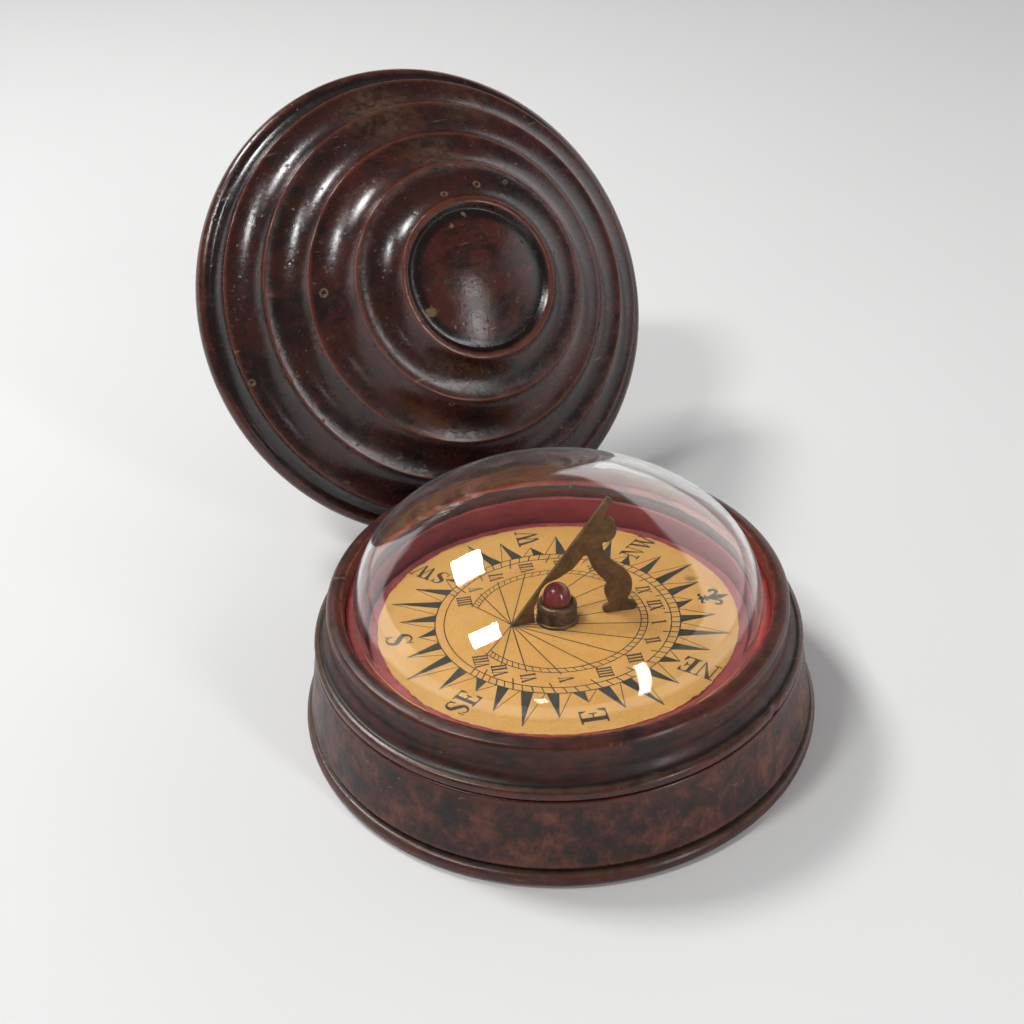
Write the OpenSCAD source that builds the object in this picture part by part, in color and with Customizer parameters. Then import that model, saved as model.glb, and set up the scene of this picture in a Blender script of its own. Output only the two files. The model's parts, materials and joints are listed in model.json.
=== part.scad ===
// Pocket sundial compass: turned wooden case with a domed glass, a floating
// compass card that carries a brass sundial style, and a stepped lid that is
// shown taken off and leaning behind the case. Millimetres. The origin is the
// centre of the case's foot, Z is up and the viewer is on the -Y side.

/* [Case] */
// Outermost radius of the foot bead
foot_r = 37.5; // [37.2:0.1:38]
// Radius of the foot bead's round
foot_bead_r = 1.1; // [1:0.05:1.15]
// Radius at the bottom of the groove over the foot bead
foot_groove_r = 35.9; // [35.5:0.1:36]
// Height at which the flared band starts
band_bottom_z = 2.8; // [2.6:0.1:3]
// Radius of the flared band at its bottom
band_bottom_r = 36.7; // [36.5:0.1:36.9]
// Height at which the flared band ends
band_top_z = 12.8; // [12.4:0.1:12.9]
// Radius of the flared band at its top
band_top_r = 35; // [34.8:0.1:35.2]
// Radius at the bottom of the groove under the shoulder bead
shoulder_groove_r = 34.4; // [34.2:0.1:34.6]
// Radius of the shoulder bead's centre line
shoulder_r = 34; // [33.9:0.05:34.1]
// Height of the shoulder bead's centre line
shoulder_z = 14.05; // [14:0.05:14.1]
// Radius of the shoulder bead's round
shoulder_bead_r = 1; // [0.95:0.05:1.1]
// Radius at the narrowest place of the neck
neck_r = 32.2; // [32:0.1:32.4]
// Height of the narrowest place of the neck
neck_z = 17; // [16.9:0.1:17.1]
// Radius of the hollow round the neck
neck_cove_r = 3.7; // [3.5:0.1:4]
// Radius of the rim bead's centre line
rim_r = 32.04; // [31.9:0.02:32.1]
// Height of the rim bead's centre line
rim_z = 19.95; // [19.8:0.05:20]
// Radius of the rim bead's round
rim_bead_r = 0.8; // [0.75:0.05:0.85]
// Radius at which the rim's inner slope starts
rim_slope_r = 31.6; // [31.5:0.05:31.7]
// Height at which the rim's inner slope ends
rim_slope_z = 19; // [18.8:0.1:19.2]
// Height of the ledge that the glass stands on
glass_seat_z = 17.6; // [17.5:0.05:17.7]
// Height of the bowl's floor
floor_z = 4; // [3.5:0.1:4.3]

/* [Lining] */
// Inner radius of the painted lining
lining_r = 28.25; // [28.1:0.05:28.3]
// Thickness of the painted lining
lining_wall = 0.5; // [0.4:0.05:0.6]
// Height of the lining's top edge
lining_top_z = 16.3; // [15.5:0.1:16.6]

/* [Glass] */
// Outer radius of the glass's upright foot
glass_foot_r = 28.95; // [28.9:0.01:29]
// Outer radius of the glass's dome
glass_dome_r = 32; // [31.9:0.05:32.1]
// Height of the dome's centre
glass_centre_z = 6.6; // [6.5:0.05:6.7]
// Thickness of the glass
glass_wall = 1.4; // [1.3:0.05:1.5]
// Width of the bedding between the glass and the rim
bedding_w = 1.25; // [1.2:0.05:1.3]
// Height of the bedding against the glass
bedding_inner_h = 0.8; // [0.6:0.1:1]
// Height of the bedding against the rim
bedding_outer_h = 1.1; // [0.9:0.1:1.2]

/* [Pivot] */
// Radius of the brass disc that carries the pin
pivot_foot_r = 4; // [3.8:0.1:4.5]
// Thickness of the brass disc
pivot_foot_h = 1.2; // [1:0.1:1.4]
// Radius of the pin's shank
pin_r = 0.75; // [0.65:0.05:0.8]
// Depth of the pin's shank in the wood
pin_depth = 2; // [1.5:0.1:2.2]
// Height at which the pin starts to taper
pin_taper_z = 14; // [12:0.5:14.5]
// Height of the pin's point
pin_tip_z = 17.5; // [17.4:0.05:17.6]
// Radius of the flat on the pin's point
pin_tip_r = 0.08; // [0.06:0.01:0.1]
// Distance of the two screws from the pin
screw_r = 2.55; // [2.4:0.05:2.7]
// Radius of a screw's head
screw_head_r = 0.9; // [0.8:0.05:1]
// Depth of a screw's countersunk head
screw_head_h = 0.5; // [0.4:0.05:0.6]
// Radius of a screw's shank
screw_shank_r = 0.45; // [0.4:0.05:0.5]
// Length of a screw
screw_length = 2.8; // [2.4:0.1:3.2]
// Width of the slot in a screw's head
screw_slot_w = 0.22; // [0.15:0.01:0.3]
// Depth of the slot in a screw's head
screw_slot_h = 0.25; // [0.15:0.05:0.3]

/* [Card] */
// Tilt of the card, with the viewer's side high
card_tilt = 4.9; // [4.5:0.1:5.1]
// Direction of the dial's north, from +X towards +Y
card_north = 9; // [0:1:20]
// Radius of the card
card_r = 27.6; // [27.3:0.05:27.65]
// Thickness of the card
card_h = 0.8; // [0.7:0.05:0.85]
// Radius of the printed face
print_r = 26.15; // [26:0.05:26.3]
// Thickness of the printed face
print_h = 0.15; // [0.1:0.01:0.2]
// Height of the pin's point over the printed face
tip_over_face = 2.8; // [2.75:0.05:2.85]
// Gap between the pin's point and the cap
tip_gap = 0.05; // [0.03:0.01:0.08]

/* [Cap] */
// Radius of the brass cup
cup_r = 3.1; // [3:0.05:3.15]
// Height of the cup's straight side
cup_side_h = 1.9; // [1.7:0.1:2.1]
// Height of the cup
cup_h = 3.6; // [3.5:0.05:3.65]
// Radius of the cup's top edge
cup_top_r = 2.3; // [2.25:0.05:2.4]
// Radius of the cup's stem through the card
stem_r = 2.4; // [2.35:0.05:2.5]
// Radius of the bore that the pin comes up through
cup_bore_r = 1.6; // [1.55:0.05:1.65]
// Radius of the garnet
jewel_r = 2.07; // [2.02:0.01:2.1]
// Height of the garnet's underside over the printed face
jewel_seat_h = 1.5; // [1.45:0.05:1.55]
// Height of the garnet's top over the printed face
jewel_top_h = 6.3; // [6.2:0.05:6.4]
// Radius of the hollow's mouth under the garnet
jewel_hollow_r = 1.45; // [1.4:0.05:1.5]
// Radius of the hollow's bottom
jewel_tip_r = 0.16; // [0.15:0.01:0.18]
// Radius of the collar that clamps the cup
collar_r = 3.6; // [3.4:0.1:4]
// Thickness of the collar
collar_h = 0.5; // [0.4:0.05:0.6]

/* [Magnet] */
// Direction of the bar, back from the dial's north
magnet_lag = 22.5; // [20:0.5:25]
// Length of the bar
magnet_length = 44; // [42:0.5:46]
// Width of the bar
magnet_w = 4; // [3.5:0.1:4.5]
// Thickness of the bar
magnet_h = 1; // [0.8:0.05:1.1]
// Length of the pointed end of the bar
magnet_point = 5; // [4:0.5:6]
// Radius of the round in the middle of the bar
magnet_eye_r = 4.6; // [4.2:0.1:5]
// Distance of a strap from the card's middle
strap_r = 12; // [11:0.5:13]
// Width of a strap
strap_w = 5; // [4:0.5:6]
// Thickness of a strap
strap_h = 0.25; // [0.2:0.05:0.3]
// Length of a strap's glued end
strap_end = 3; // [2:0.5:4]

/* [Gnomon] */
// Thickness of the brass plate
gnomon_w = 0.6; // [0.5:0.05:0.7]
// Slope of the style's edge
style_angle = 53.2; // [52.5:0.1:53.6]
// Distance of the style's lower end from the card's middle
style_start = 6.7; // [6.6:0.05:6.9]
// Height of the style's tip over the printed face
style_top_h = 19; // [18.6:0.1:19.2]
// Width of the nose at the style's tip
style_nose = 0.85; // [0.7:0.05:1]
// Height at which the blade's back meets the knob
blade_back_h = 15.5; // [15:0.1:16]
// Distance of the blade's back from the card's middle
blade_back_s = 6.75; // [6.6:0.05:6.9]
// Height of the notch between the blade and the leg
crotch_h = 10.3; // [10:0.1:10.6]
// Distance of the notch from the card's middle
crotch_s = 4.1; // [3.9:0.1:4.3]
// Height of the blade's underside over the garnet
arch_h = 6.8; // [6.75:0.05:6.9]
// Radius of the round over the garnet
arch_r = 2.6; // [2.5:0.05:2.65]
// Distance of the style's foot from the card's middle
arch_s = 3.4; // [3.35:0.05:3.45]
// Height of the straight inner side of the style's foot
arch_side_h = 2.5; // [2.2:0.1:2.8]
// Radius of the knob's upper round
knob_top_r = 1.25; // [1.15:0.05:1.3]
// Height of the knob's upper round
knob_top_h = 14.5; // [14.3:0.1:14.6]
// Radius of the knob's lower round
knob_low_r = 1.45; // [1.35:0.05:1.5]
// Height of the knob's lower round
knob_low_h = 13.4; // [13.2:0.1:13.5]
// Distance of the knob from the card's middle
knob_s = 7.3; // [7.2:0.05:7.4]
// Radius of the leg's inner curve
leg_inner_r = 4.65; // [4.6:0.05:4.75]
// Distance of the leg's inner curve from the card's middle
leg_inner_s = 9.3; // [9.2:0.05:9.35]
// Height of the leg's inner curve
leg_inner_h = 9.9; // [9.8:0.05:10]
// Radius of the leg's outer curve
leg_outer_r = 3.85; // [3.7:0.05:3.9]
// Distance of the leg's outer curve from the card's middle
leg_outer_s = 10.5; // [10.45:0.05:10.6]
// Height of the leg's outer curve
leg_outer_h = 11.3; // [11.2:0.05:11.4]
// Radius of the leg's calf
calf_r = 2; // [1.9:0.05:2.1]
// Distance of the calf from the card's middle
calf_s = 9; // [8.9:0.05:9.1]
// Height of the calf
calf_h = 4.2; // [4.1:0.05:4.3]
// Distance of the heel from the card's middle
heel_s = 6.8; // [6.6:0.05:7]
// Distance of the toe from the card's middle
toe_s = 11.65; // [11.4:0.05:11.8]
// Height of the heel and of the toe
toe_h = 1.4; // [1.2:0.05:1.5]
// Height of the ankle
ankle_h = 2.4; // [2.3:0.05:2.5]
// Distance of the style foot's tab from the card's middle
south_tab_s = 4.3; // [4.2:0.05:4.5]
// Distance of the leg's tab from the card's middle
north_tab_s = 8.2; // [8:0.05:8.5]
// Length of a tab
tab_length = 1.8; // [1.6:0.05:2]
// Gap round a tab in its slot
slot_gap = 0.04; // [0.02:0.01:0.06]

/* [Lid] */
// Radius of the lid
lid_r = 40; // [39.7:0.05:40.2]
// Radius of the round on the lid's edge
lid_bead_r = 1.2; // [1.1:0.05:1.25]
// Height of the round on the lid's edge
lid_bead_z = 3.6; // [3.4:0.05:3.8]
// Outer radius of the lid's seat
lid_seat_r = 35.2; // [34.9:0.05:35.5]
// Gap between the lid's bore and the case's rim
lid_fit_gap = 0.2; // [0.15:0.01:0.3]
// Gap over the case's rim in the lid
lid_rim_gap = 0.5; // [0.4:0.05:0.8]
// Gap between the lid and the glass
lid_glass_gap = 1.4; // [1.2:0.1:1.6]
// Radius of the first edge
edge1_r = 36.6; // [36.4:0.05:36.8]
// Height of the first edge
edge1_z = 9.4; // [9.3:0.05:9.5]
// Radius of the second edge
edge2_r = 31.35; // [31.2:0.05:31.5]
// Height of the second edge
edge2_z = 14.4; // [14.3:0.05:14.5]
// Radius of the third edge
edge3_r = 25.25; // [25.1:0.05:25.4]
// Height of the third edge
edge3_z = 18.45; // [18.3:0.05:18.6]
// Radius of the fourth edge
edge4_r = 19.1; // [19:0.05:19.2]
// Height of the fourth edge
edge4_z = 23.9; // [23.8:0.05:24]
// Radius of the boss's edge
edge5_r = 12.8; // [12.7:0.05:12.9]
// Height of the boss's edge
edge5_z = 27.4; // [27.3:0.05:27.5]
// Depth of the coves between the edges
cove_depth = 1.3; // [1.1:0.05:1.4]
// Depth of the coves on both sides of the lid's round edge
edge_cove_depth = 0.5; // [0.4:0.05:0.6]
// Width of the boss's lip at the top
lip_w = 0.8; // [0.6:0.05:1]
// Width of the boss's lip at the bottom
lip_base_w = 1.6; // [1.4:0.05:1.8]
// Depth of the groove inside the lip
lip_h = 0.8; // [0.6:0.05:0.9]
// Radius of the low dome on the boss
boss_dome_r = 11; // [10.8:0.05:11.1]
// Height of the low dome's top
boss_top_z = 28.3; // [28.2:0.05:28.4]

/* [Lid pose] */
// Place of the lid's seat plane, to the right
lid_x = -19.66; // [-20:0.01:-19]
// Place of the lid's seat plane, away from the viewer
lid_y = 66.15; // [66:0.01:67]
// Turn of the lid about the vertical
lid_turn = 27.4; // [26:0.1:28]
// Rise of the lid's axis over the table
lid_rise = 33; // [32.5:0.1:34]

/* [Hidden] */
$fn = 128;
// Cutters reach this far past the faces that they cut
over = 1;
bowl_r = lining_r + lining_wall;
rim_bore_r = glass_foot_r + bedding_w;
rim_top_z = rim_z + rim_bead_r;
shoulder_top_z = shoulder_z + shoulder_bead_r;
stack_h = print_h + card_h;
bar_bottom_h = -stack_h - magnet_h;
collar_bottom_h = bar_bottom_h - collar_h;
arch_centre_h = arch_h - arch_r;
lid_bore_r = rim_r + rim_bead_r + lid_fit_gap;
lid_rim_z = rim_top_z + lid_rim_gap - shoulder_top_z;
lid_hollow_r = glass_dome_r + lid_glass_gap;
lid_hollow_z = glass_centre_z - shoulder_top_z;
groove_z = edge5_z - lip_h;
lid_bead_low = [lid_r - lid_bead_r, lid_bead_z - lid_bead_r];
lid_bead_high = [lid_r - lid_bead_r, lid_bead_z + lid_bead_r];
edge1 = [edge1_r, edge1_z];
edge2 = [edge2_r, edge2_z];
edge3 = [edge3_r, edge3_z];
edge4 = [edge4_r, edge4_z];
edge5 = [edge5_r, edge5_z];
// The lid stands on its round edge, so its height follows from its tilt
lid_z = cos(lid_rise) * (lid_r - lid_bead_r) - sin(lid_rise) * lid_bead_z + lid_bead_r;

// Radius of the arc that hollows a straight stretch by the given depth
function arc_r(a, b, depth) = (pow(norm(b - a), 2) / 4 + depth * depth) / (2 * depth);
// Unit vector to the right of the way from a to b
function right_of(a, b) = [b[1] - a[1], a[0] - b[0]] / norm(b - a);

// Hollow of the given depth in the straight stretch from a to b
module cove(a, b, depth) {
  radius = arc_r(a, b, depth);
  translate((a + b) / 2 + right_of(a, b) * (radius - depth)) circle(r = radius);
}

// Half profile of the case before it is hollowed
module case_outline() {
  polygon([
    [0, 0],
    [foot_r - foot_bead_r, 0],
    [foot_r - foot_bead_r, 2 * foot_bead_r],
    [foot_groove_r, 2 * foot_bead_r],
    [foot_groove_r, band_bottom_z],
    [band_bottom_r, band_bottom_z],
    [band_top_r, band_top_z],
    [shoulder_groove_r, band_top_z],
    [shoulder_r, shoulder_z - shoulder_bead_r],
    [shoulder_r, shoulder_z],
    [0, shoulder_z]
  ]);
  translate([foot_r - foot_bead_r, foot_bead_r]) circle(r = foot_bead_r);
  translate([shoulder_r, shoulder_z]) circle(r = shoulder_bead_r);
  translate([rim_r, rim_z]) circle(r = rim_bead_r);
  difference() {
    square([shoulder_r - shoulder_bead_r / 2, rim_top_z - rim_bead_r]);
    translate([neck_r + neck_cove_r, neck_z]) circle(r = neck_cove_r);
  }
  square([rim_r, rim_top_z]);
}

module case_body() {
  color("saddlebrown") difference() {
    rotate_extrude() difference() {
      case_outline();
      translate([-over, floor_z]) square([bowl_r + over, rim_top_z]);
      translate([-over, glass_seat_z]) square([rim_bore_r + over, rim_top_z]);
      polygon([
        [0, rim_slope_z],
        [rim_bore_r, rim_slope_z],
        [rim_slope_r, rim_top_z],
        [rim_slope_r, rim_top_z + over],
        [0, rim_top_z + over]
      ]);
    }
    translate([0, 0, floor_z - pin_depth]) cylinder(r = pin_r, h = pin_depth + over);
    for (side = [-1, 1]) translate([side * screw_r, 0, floor_z + pivot_foot_h - screw_length])
      cylinder(r = screw_shank_r, h = screw_length);
  }
}

module bowl_lining() {
  color("crimson") translate([0, 0, floor_z]) difference() {
    cylinder(r = bowl_r, h = lining_top_z - floor_z);
    translate([0, 0, -over]) cylinder(r = lining_r, h = lining_top_z - floor_z + 2 * over);
  }
}

// Half disc of the glass's dome, cut off at a radius
module dome_half(radius, cut_r) {
  intersection() {
    translate([0, glass_centre_z]) circle(r = radius);
    translate([0, glass_seat_z]) square([cut_r, glass_dome_r]);
  }
}

module glass_dome() {
  color("lightcyan", 0.4) rotate_extrude() difference() {
    dome_half(glass_dome_r, glass_foot_r);
    translate([-over, 0]) square([over, 2 * glass_dome_r]);
    translate([0, glass_seat_z - over]) square([glass_foot_r - glass_wall, 2 * over]);
    dome_half(glass_dome_r - glass_wall, glass_foot_r - glass_wall);
  }
}

module glass_bedding() {
  color("firebrick") rotate_extrude() polygon([
    [glass_foot_r, glass_seat_z],
    [rim_bore_r, glass_seat_z],
    [rim_bore_r, glass_seat_z + bedding_outer_h],
    [glass_foot_r, glass_seat_z + bedding_inner_h]
  ]);
}

// One countersunk screw with its head's top at zero
module screw_blank() {
  translate([0, 0, -screw_length]) cylinder(r = screw_shank_r, h = screw_length);
  translate([0, 0, -screw_head_h]) cylinder(r1 = screw_shank_r, r2 = screw_head_r, h = screw_head_h);
}

module pivot_foot() {
  color("goldenrod") difference() {
    translate([0, 0, floor_z]) cylinder(r = pivot_foot_r, h = pivot_foot_h);
    translate([0, 0, floor_z - over]) cylinder(r = pin_r, h = pivot_foot_h + 2 * over);
    for (side = [-1, 1]) translate([side * screw_r, 0, floor_z + pivot_foot_h]) screw_blank();
  }
}

module pivot_screws() {
  color("darkgoldenrod") for (side = [-1, 1]) {
    translate([side * screw_r, 0, floor_z + pivot_foot_h]) difference() {
      screw_blank();
      translate([-screw_head_r, -screw_slot_w / 2, -screw_slot_h])
        cube([2 * screw_head_r, screw_slot_w, screw_slot_h + over]);
    }
  }
}

module pivot_pin() {
  color("silver") {
    translate([0, 0, floor_z - pin_depth]) cylinder(r = pin_r, h = pin_taper_z - floor_z + pin_depth);
    translate([0, 0, pin_taper_z]) cylinder(r1 = pin_r, r2 = pin_tip_r, h = pin_tip_z - pin_taper_z);
  }
}

// Places a piece of the card, which hangs tilted on the pin's point
module on_card() {
  translate([0, 0, pin_tip_z]) rotate([-card_tilt, 0, 0]) translate([0, 0, -tip_over_face]) children();
}

// Places a piece along the dial's north
module to_north() {
  rotate([0, 0, card_north]) children();
}

// Tabs of the gnomon, or their slots with a gap all round
module tabs(gap) {
  for (start = [-south_tab_s - tab_length, north_tab_s])
    translate([start - gap, -gnomon_w / 2 - gap, -stack_h - (gap > 0 ? over : 0)])
      cube([tab_length + 2 * gap, gnomon_w + 2 * gap, stack_h + (gap > 0 ? 2 * over : 0)]);
}

module card_disc() {
  color("indianred") on_card() difference() {
    translate([0, 0, -stack_h]) cylinder(r = card_r, h = card_h);
    translate([0, 0, -stack_h - over]) cylinder(r = stem_r, h = stack_h + 2 * over);
    to_north() tabs(slot_gap);
  }
}

module dial_print() {
  color("khaki") on_card() difference() {
    translate([0, 0, -print_h]) cylinder(r = print_r, h = print_h);
    translate([0, 0, -stack_h - over]) cylinder(r = stem_r, h = stack_h + 2 * over);
    to_north() tabs(slot_gap);
  }
}

module cap_cup() {
  color("peru") on_card() rotate_extrude() polygon([
    [cup_bore_r, collar_bottom_h],
    [stem_r, collar_bottom_h],
    [stem_r, 0],
    [cup_r, 0],
    [cup_r, cup_side_h],
    [cup_top_r, cup_h],
    [jewel_r, cup_h],
    [jewel_r, jewel_seat_h],
    [cup_bore_r, jewel_seat_h]
  ]);
}

module cap_jewel() {
  hollow_h = tip_over_face + tip_gap;
  color("darkred") on_card() difference() {
    union() {
      translate([0, 0, jewel_seat_h]) cylinder(r = jewel_r, h = jewel_top_h - jewel_r - jewel_seat_h);
      translate([0, 0, jewel_top_h - jewel_r]) sphere(r = jewel_r);
    }
    translate([0, 0, jewel_seat_h]) cylinder(r1 = jewel_hollow_r, r2 = jewel_tip_r, h = hollow_h - jewel_seat_h);
  }
}

module cap_collar() {
  color("goldenrod") on_card() translate([0, 0, collar_bottom_h]) difference() {
    cylinder(r = collar_r, h = collar_h);
    translate([0, 0, -over]) cylinder(r = stem_r, h = collar_h + 2 * over);
  }
}

module magnet_bar() {
  half = magnet_length / 2;
  color("slategray") on_card() rotate([0, 0, card_north - magnet_lag]) translate([0, 0, bar_bottom_h])
    linear_extrude(height = magnet_h) difference() {
      union() {
        polygon([
          [half, 0],
          [half - magnet_point, magnet_w / 2],
          [magnet_point - half, magnet_w / 2],
          [-half, 0],
          [magnet_point - half, -magnet_w / 2],
          [half - magnet_point, -magnet_w / 2]
        ]);
        circle(r = magnet_eye_r);
      }
      circle(r = stem_r);
    }
}

module magnet_straps() {
  side = magnet_w / 2;
  color("wheat") on_card() rotate([0, 0, card_north - magnet_lag]) for (way = [-1, 1])
    translate([way * strap_r - strap_w / 2, 0, -stack_h]) rotate([90, 0, 90])
      linear_extrude(height = strap_w) polygon([
        [-side - strap_end, 0],
        [-side, 0],
        [-side, -magnet_h],
        [side, -magnet_h],
        [side, 0],
        [side + strap_end, 0],
        [side + strap_end, -strap_h],
        [side + strap_h, -strap_h],
        [side + strap_h, -magnet_h - strap_h],
        [-side - strap_h, -magnet_h - strap_h],
        [-side - strap_h, -strap_h],
        [-side - strap_end, -strap_h]
      ]);
}

// Outline of the gnomon: along the dial's north, then up
module gnomon_outline() {
  tip_s = style_top_h / tan(style_angle) - style_start;
  difference() {
    polygon([
      [-style_start, 0],
      [tip_s, style_top_h],
      [tip_s + style_nose, style_top_h - style_nose],
      [blade_back_s, blade_back_h],
      [blade_back_s, knob_low_h - knob_low_r],
      [crotch_s, crotch_h],
      [0, arch_h],
      [0, 0]
    ]);
    translate([0, arch_centre_h]) circle(r = arch_r);
    polygon([
      [-arch_s, -over],
      [-arch_s, arch_side_h],
      [-arch_r, arch_centre_h],
      [over, arch_centre_h],
      [over, -over]
    ]);
  }
  translate([knob_s, knob_top_h]) circle(r = knob_top_r);
  translate([knob_s, knob_low_h]) circle(r = knob_low_r);
  intersection() {
    difference() {
      translate([leg_inner_s, leg_inner_h]) circle(r = leg_inner_r);
      translate([leg_outer_s, leg_outer_h]) circle(r = leg_outer_r);
    }
    translate([0, calf_h]) square([calf_s + calf_r, knob_low_h - calf_h]);
  }
  translate([calf_s, calf_h]) circle(r = calf_r);
  polygon([
    [heel_s, 0],
    [toe_s, 0],
    [toe_s, toe_h],
    [calf_s + calf_r / 2, ankle_h],
    [calf_s - calf_r / 2, ankle_h],
    [heel_s, toe_h]
  ]);
}

module gnomon() {
  color("sienna") on_card() to_north() {
    translate([0, gnomon_w / 2, 0]) rotate([90, 0, 0]) linear_extrude(height = gnomon_w) gnomon_outline();
    tabs(0);
  }
}

// Half profile of the lid before it is hollowed, with its seat at zero
module lid_outline() {
  dome_rise = boss_top_z - groove_z;
  dome_sphere_r = (boss_dome_r * boss_dome_r + dome_rise * dome_rise) / (2 * dome_rise);
  difference() {
    polygon([
      [0, 0],
      [lid_seat_r, 0],
      lid_bead_low,
      lid_bead_high,
      edge1,
      edge2,
      edge3,
      edge4,
      edge5,
      [edge5_r - lip_w, edge5_z],
      [edge5_r - lip_base_w, groove_z],
      [0, groove_z]
    ]);
    cove([lid_seat_r, 0], lid_bead_low, edge_cove_depth);
    cove(lid_bead_high, edge1, edge_cove_depth);
    cove(edge1, edge2, cove_depth);
    cove(edge2, edge3, cove_depth);
    cove(edge3, edge4, cove_depth);
    cove(edge4, edge5, cove_depth);
  }
  translate([lid_r - lid_bead_r, lid_bead_z]) circle(r = lid_bead_r);
  intersection() {
    translate([0, boss_top_z - dome_sphere_r]) circle(r = dome_sphere_r);
    translate([0, groove_z - over]) square([boss_dome_r, dome_rise + over]);
  }
}

module lid() {
  color("maroon") translate([lid_x, lid_y, lid_z]) rotate([0, 0, lid_turn]) rotate([90 - lid_rise, 0, 0])
    rotate_extrude() difference() {
      lid_outline();
      translate([-over, -over]) square([lid_bore_r + over, lid_rim_z + over]);
      intersection() {
        translate([0, lid_hollow_z]) circle(r = lid_hollow_r);
        translate([-over, 0]) square([lid_hollow_r, lid_hollow_r]);
      }
    }
}

case_body();
bowl_lining();
glass_dome();
glass_bedding();
pivot_foot();
pivot_screws();
pivot_pin();
card_disc();
dial_print();
cap_cup();
cap_jewel();
cap_collar();
magnet_bar();
magnet_straps();
gnomon();
lid();
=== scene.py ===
"""Pocket sundial compass: fine meshes, finishes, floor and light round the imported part.

A turned wooden case holds a compass card under a domed glass, and the card carries a
printed dial and a brass sundial plate. The lid leans behind the case. The classes give
their sizes in millimetres, and a mesh is written in metres in the frame of the solids.
"""

from __future__ import annotations

import json
import logging
import math
from dataclasses import dataclass
from enum import Enum
from typing import Any, Sequence

import bpy
import numpy as np
from mathutils import Matrix, Vector
from mathutils.geometry import delaunay_2d_cdt

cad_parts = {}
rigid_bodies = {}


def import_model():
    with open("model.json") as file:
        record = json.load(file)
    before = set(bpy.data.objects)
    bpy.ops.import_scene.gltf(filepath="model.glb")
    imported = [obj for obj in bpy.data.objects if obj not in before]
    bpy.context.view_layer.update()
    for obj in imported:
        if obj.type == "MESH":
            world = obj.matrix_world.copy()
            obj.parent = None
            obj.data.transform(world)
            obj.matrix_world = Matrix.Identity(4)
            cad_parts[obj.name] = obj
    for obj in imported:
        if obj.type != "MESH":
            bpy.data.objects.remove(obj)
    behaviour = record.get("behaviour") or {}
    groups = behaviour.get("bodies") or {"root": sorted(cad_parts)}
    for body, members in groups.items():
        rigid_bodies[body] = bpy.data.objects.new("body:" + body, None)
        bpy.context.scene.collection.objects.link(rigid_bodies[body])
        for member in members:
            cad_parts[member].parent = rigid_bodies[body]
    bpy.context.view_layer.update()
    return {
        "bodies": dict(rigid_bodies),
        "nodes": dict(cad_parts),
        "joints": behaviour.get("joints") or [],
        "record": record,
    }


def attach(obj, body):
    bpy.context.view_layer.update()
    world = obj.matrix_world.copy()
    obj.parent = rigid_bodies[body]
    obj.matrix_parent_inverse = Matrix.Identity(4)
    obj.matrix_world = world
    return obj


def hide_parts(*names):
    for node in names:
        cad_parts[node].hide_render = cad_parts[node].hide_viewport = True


LOG = logging.getLogger("compass")
MM = 0.001
Triple = tuple[float, float, float]
Colour = Triple
Spots = tuple[tuple[Triple, float], ...]
Stops = Sequence[tuple[float, Colour]]


class Body(Enum):
    """Bodies that pieces ride on."""

    CASE = "case"
    CARD = "card"
    LID = "lid"


class Wire:
    """An output socket that takes part in shader maths as a number does."""

    def __init__(self, shader: Shader, socket: bpy.types.NodeSocket) -> None:
        """Wraps a socket of the given shader."""
        self.shader = shader
        self.socket = socket

    def _join(self, operation: str, first: Any, second: Any) -> Wire:
        """Adds one Math node for an operation on two values."""
        return self.shader.node("ShaderNodeMath", {"operation": operation}, {0: first, 1: second})

    def __add__(self, other: Wire | float) -> Wire:
        """Sum."""
        return self._join("ADD", self, other)

    def __radd__(self, other: float) -> Wire:
        """Sum with a number on the left."""
        return self._join("ADD", other, self)

    def __sub__(self, other: Wire | float) -> Wire:
        """Difference."""
        return self._join("SUBTRACT", self, other)

    def __rsub__(self, other: float) -> Wire:
        """Difference with a number on the left."""
        return self._join("SUBTRACT", other, self)

    def __mul__(self, other: Wire | float) -> Wire:
        """Product."""
        return self._join("MULTIPLY", self, other)

    def __pow__(self, other: float) -> Wire:
        """Power."""
        return self._join("POWER", self, other)


@dataclass(frozen=True)
class Frame:
    """Place of a turned or tilted piece, used alike by its mesh and by its pattern."""

    origin: Triple = (0.0, 0.0, 0.0)
    turns: Triple = (0.0, 0.0, 0.0)

    def matrix(self) -> np.ndarray:
        """Rotation by the turns about X, then Y, then Z, in degrees.

        Returns:
            The rotation, whose columns are the frame's own axes.
        """
        x, y, z = (math.radians(turn) for turn in self.turns)
        about_x = np.array([[1, 0, 0], [0, math.cos(x), -math.sin(x)], [0, math.sin(x), math.cos(x)]])
        about_y = np.array([[math.cos(y), 0, math.sin(y)], [0, 1, 0], [-math.sin(y), 0, math.cos(y)]])
        about_z = np.array([[math.cos(z), -math.sin(z), 0], [math.sin(z), math.cos(z), 0], [0, 0, 1]])
        return about_z @ about_y @ about_x

    def metres(self, points: np.ndarray) -> np.ndarray:
        """Turns, moves and scales points from millimetres on the piece to metres."""
        return (points @ self.matrix().T + np.array(self.origin)) * MM


def card_frame(tip_z: float, over_face: float, tilt: float) -> Frame:
    """Frame of the card's face, which hangs below the pin's tip and leans about it.

    Args:
        tip_z: Height of the pin's tip.
        over_face: How far the tip stands over the face, square to it.
        tilt: Lean of the card towards the front, in degrees.

    Returns:
        The frame, whose origin is the middle of the face.
    """
    lean = math.radians(tilt)
    return Frame((0.0, -over_face * math.sin(lean), tip_z - over_face * math.cos(lean)), (-tilt, 0.0, 0.0))


UPRIGHT = Frame()
CARD = card_frame(tip_z=17.5, over_face=2.8, tilt=4.9)
CARD_NORTH = 9.0
LID = Frame((-19.66, 66.15, 31.78), (57.0, 0.0, 27.4))


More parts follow.
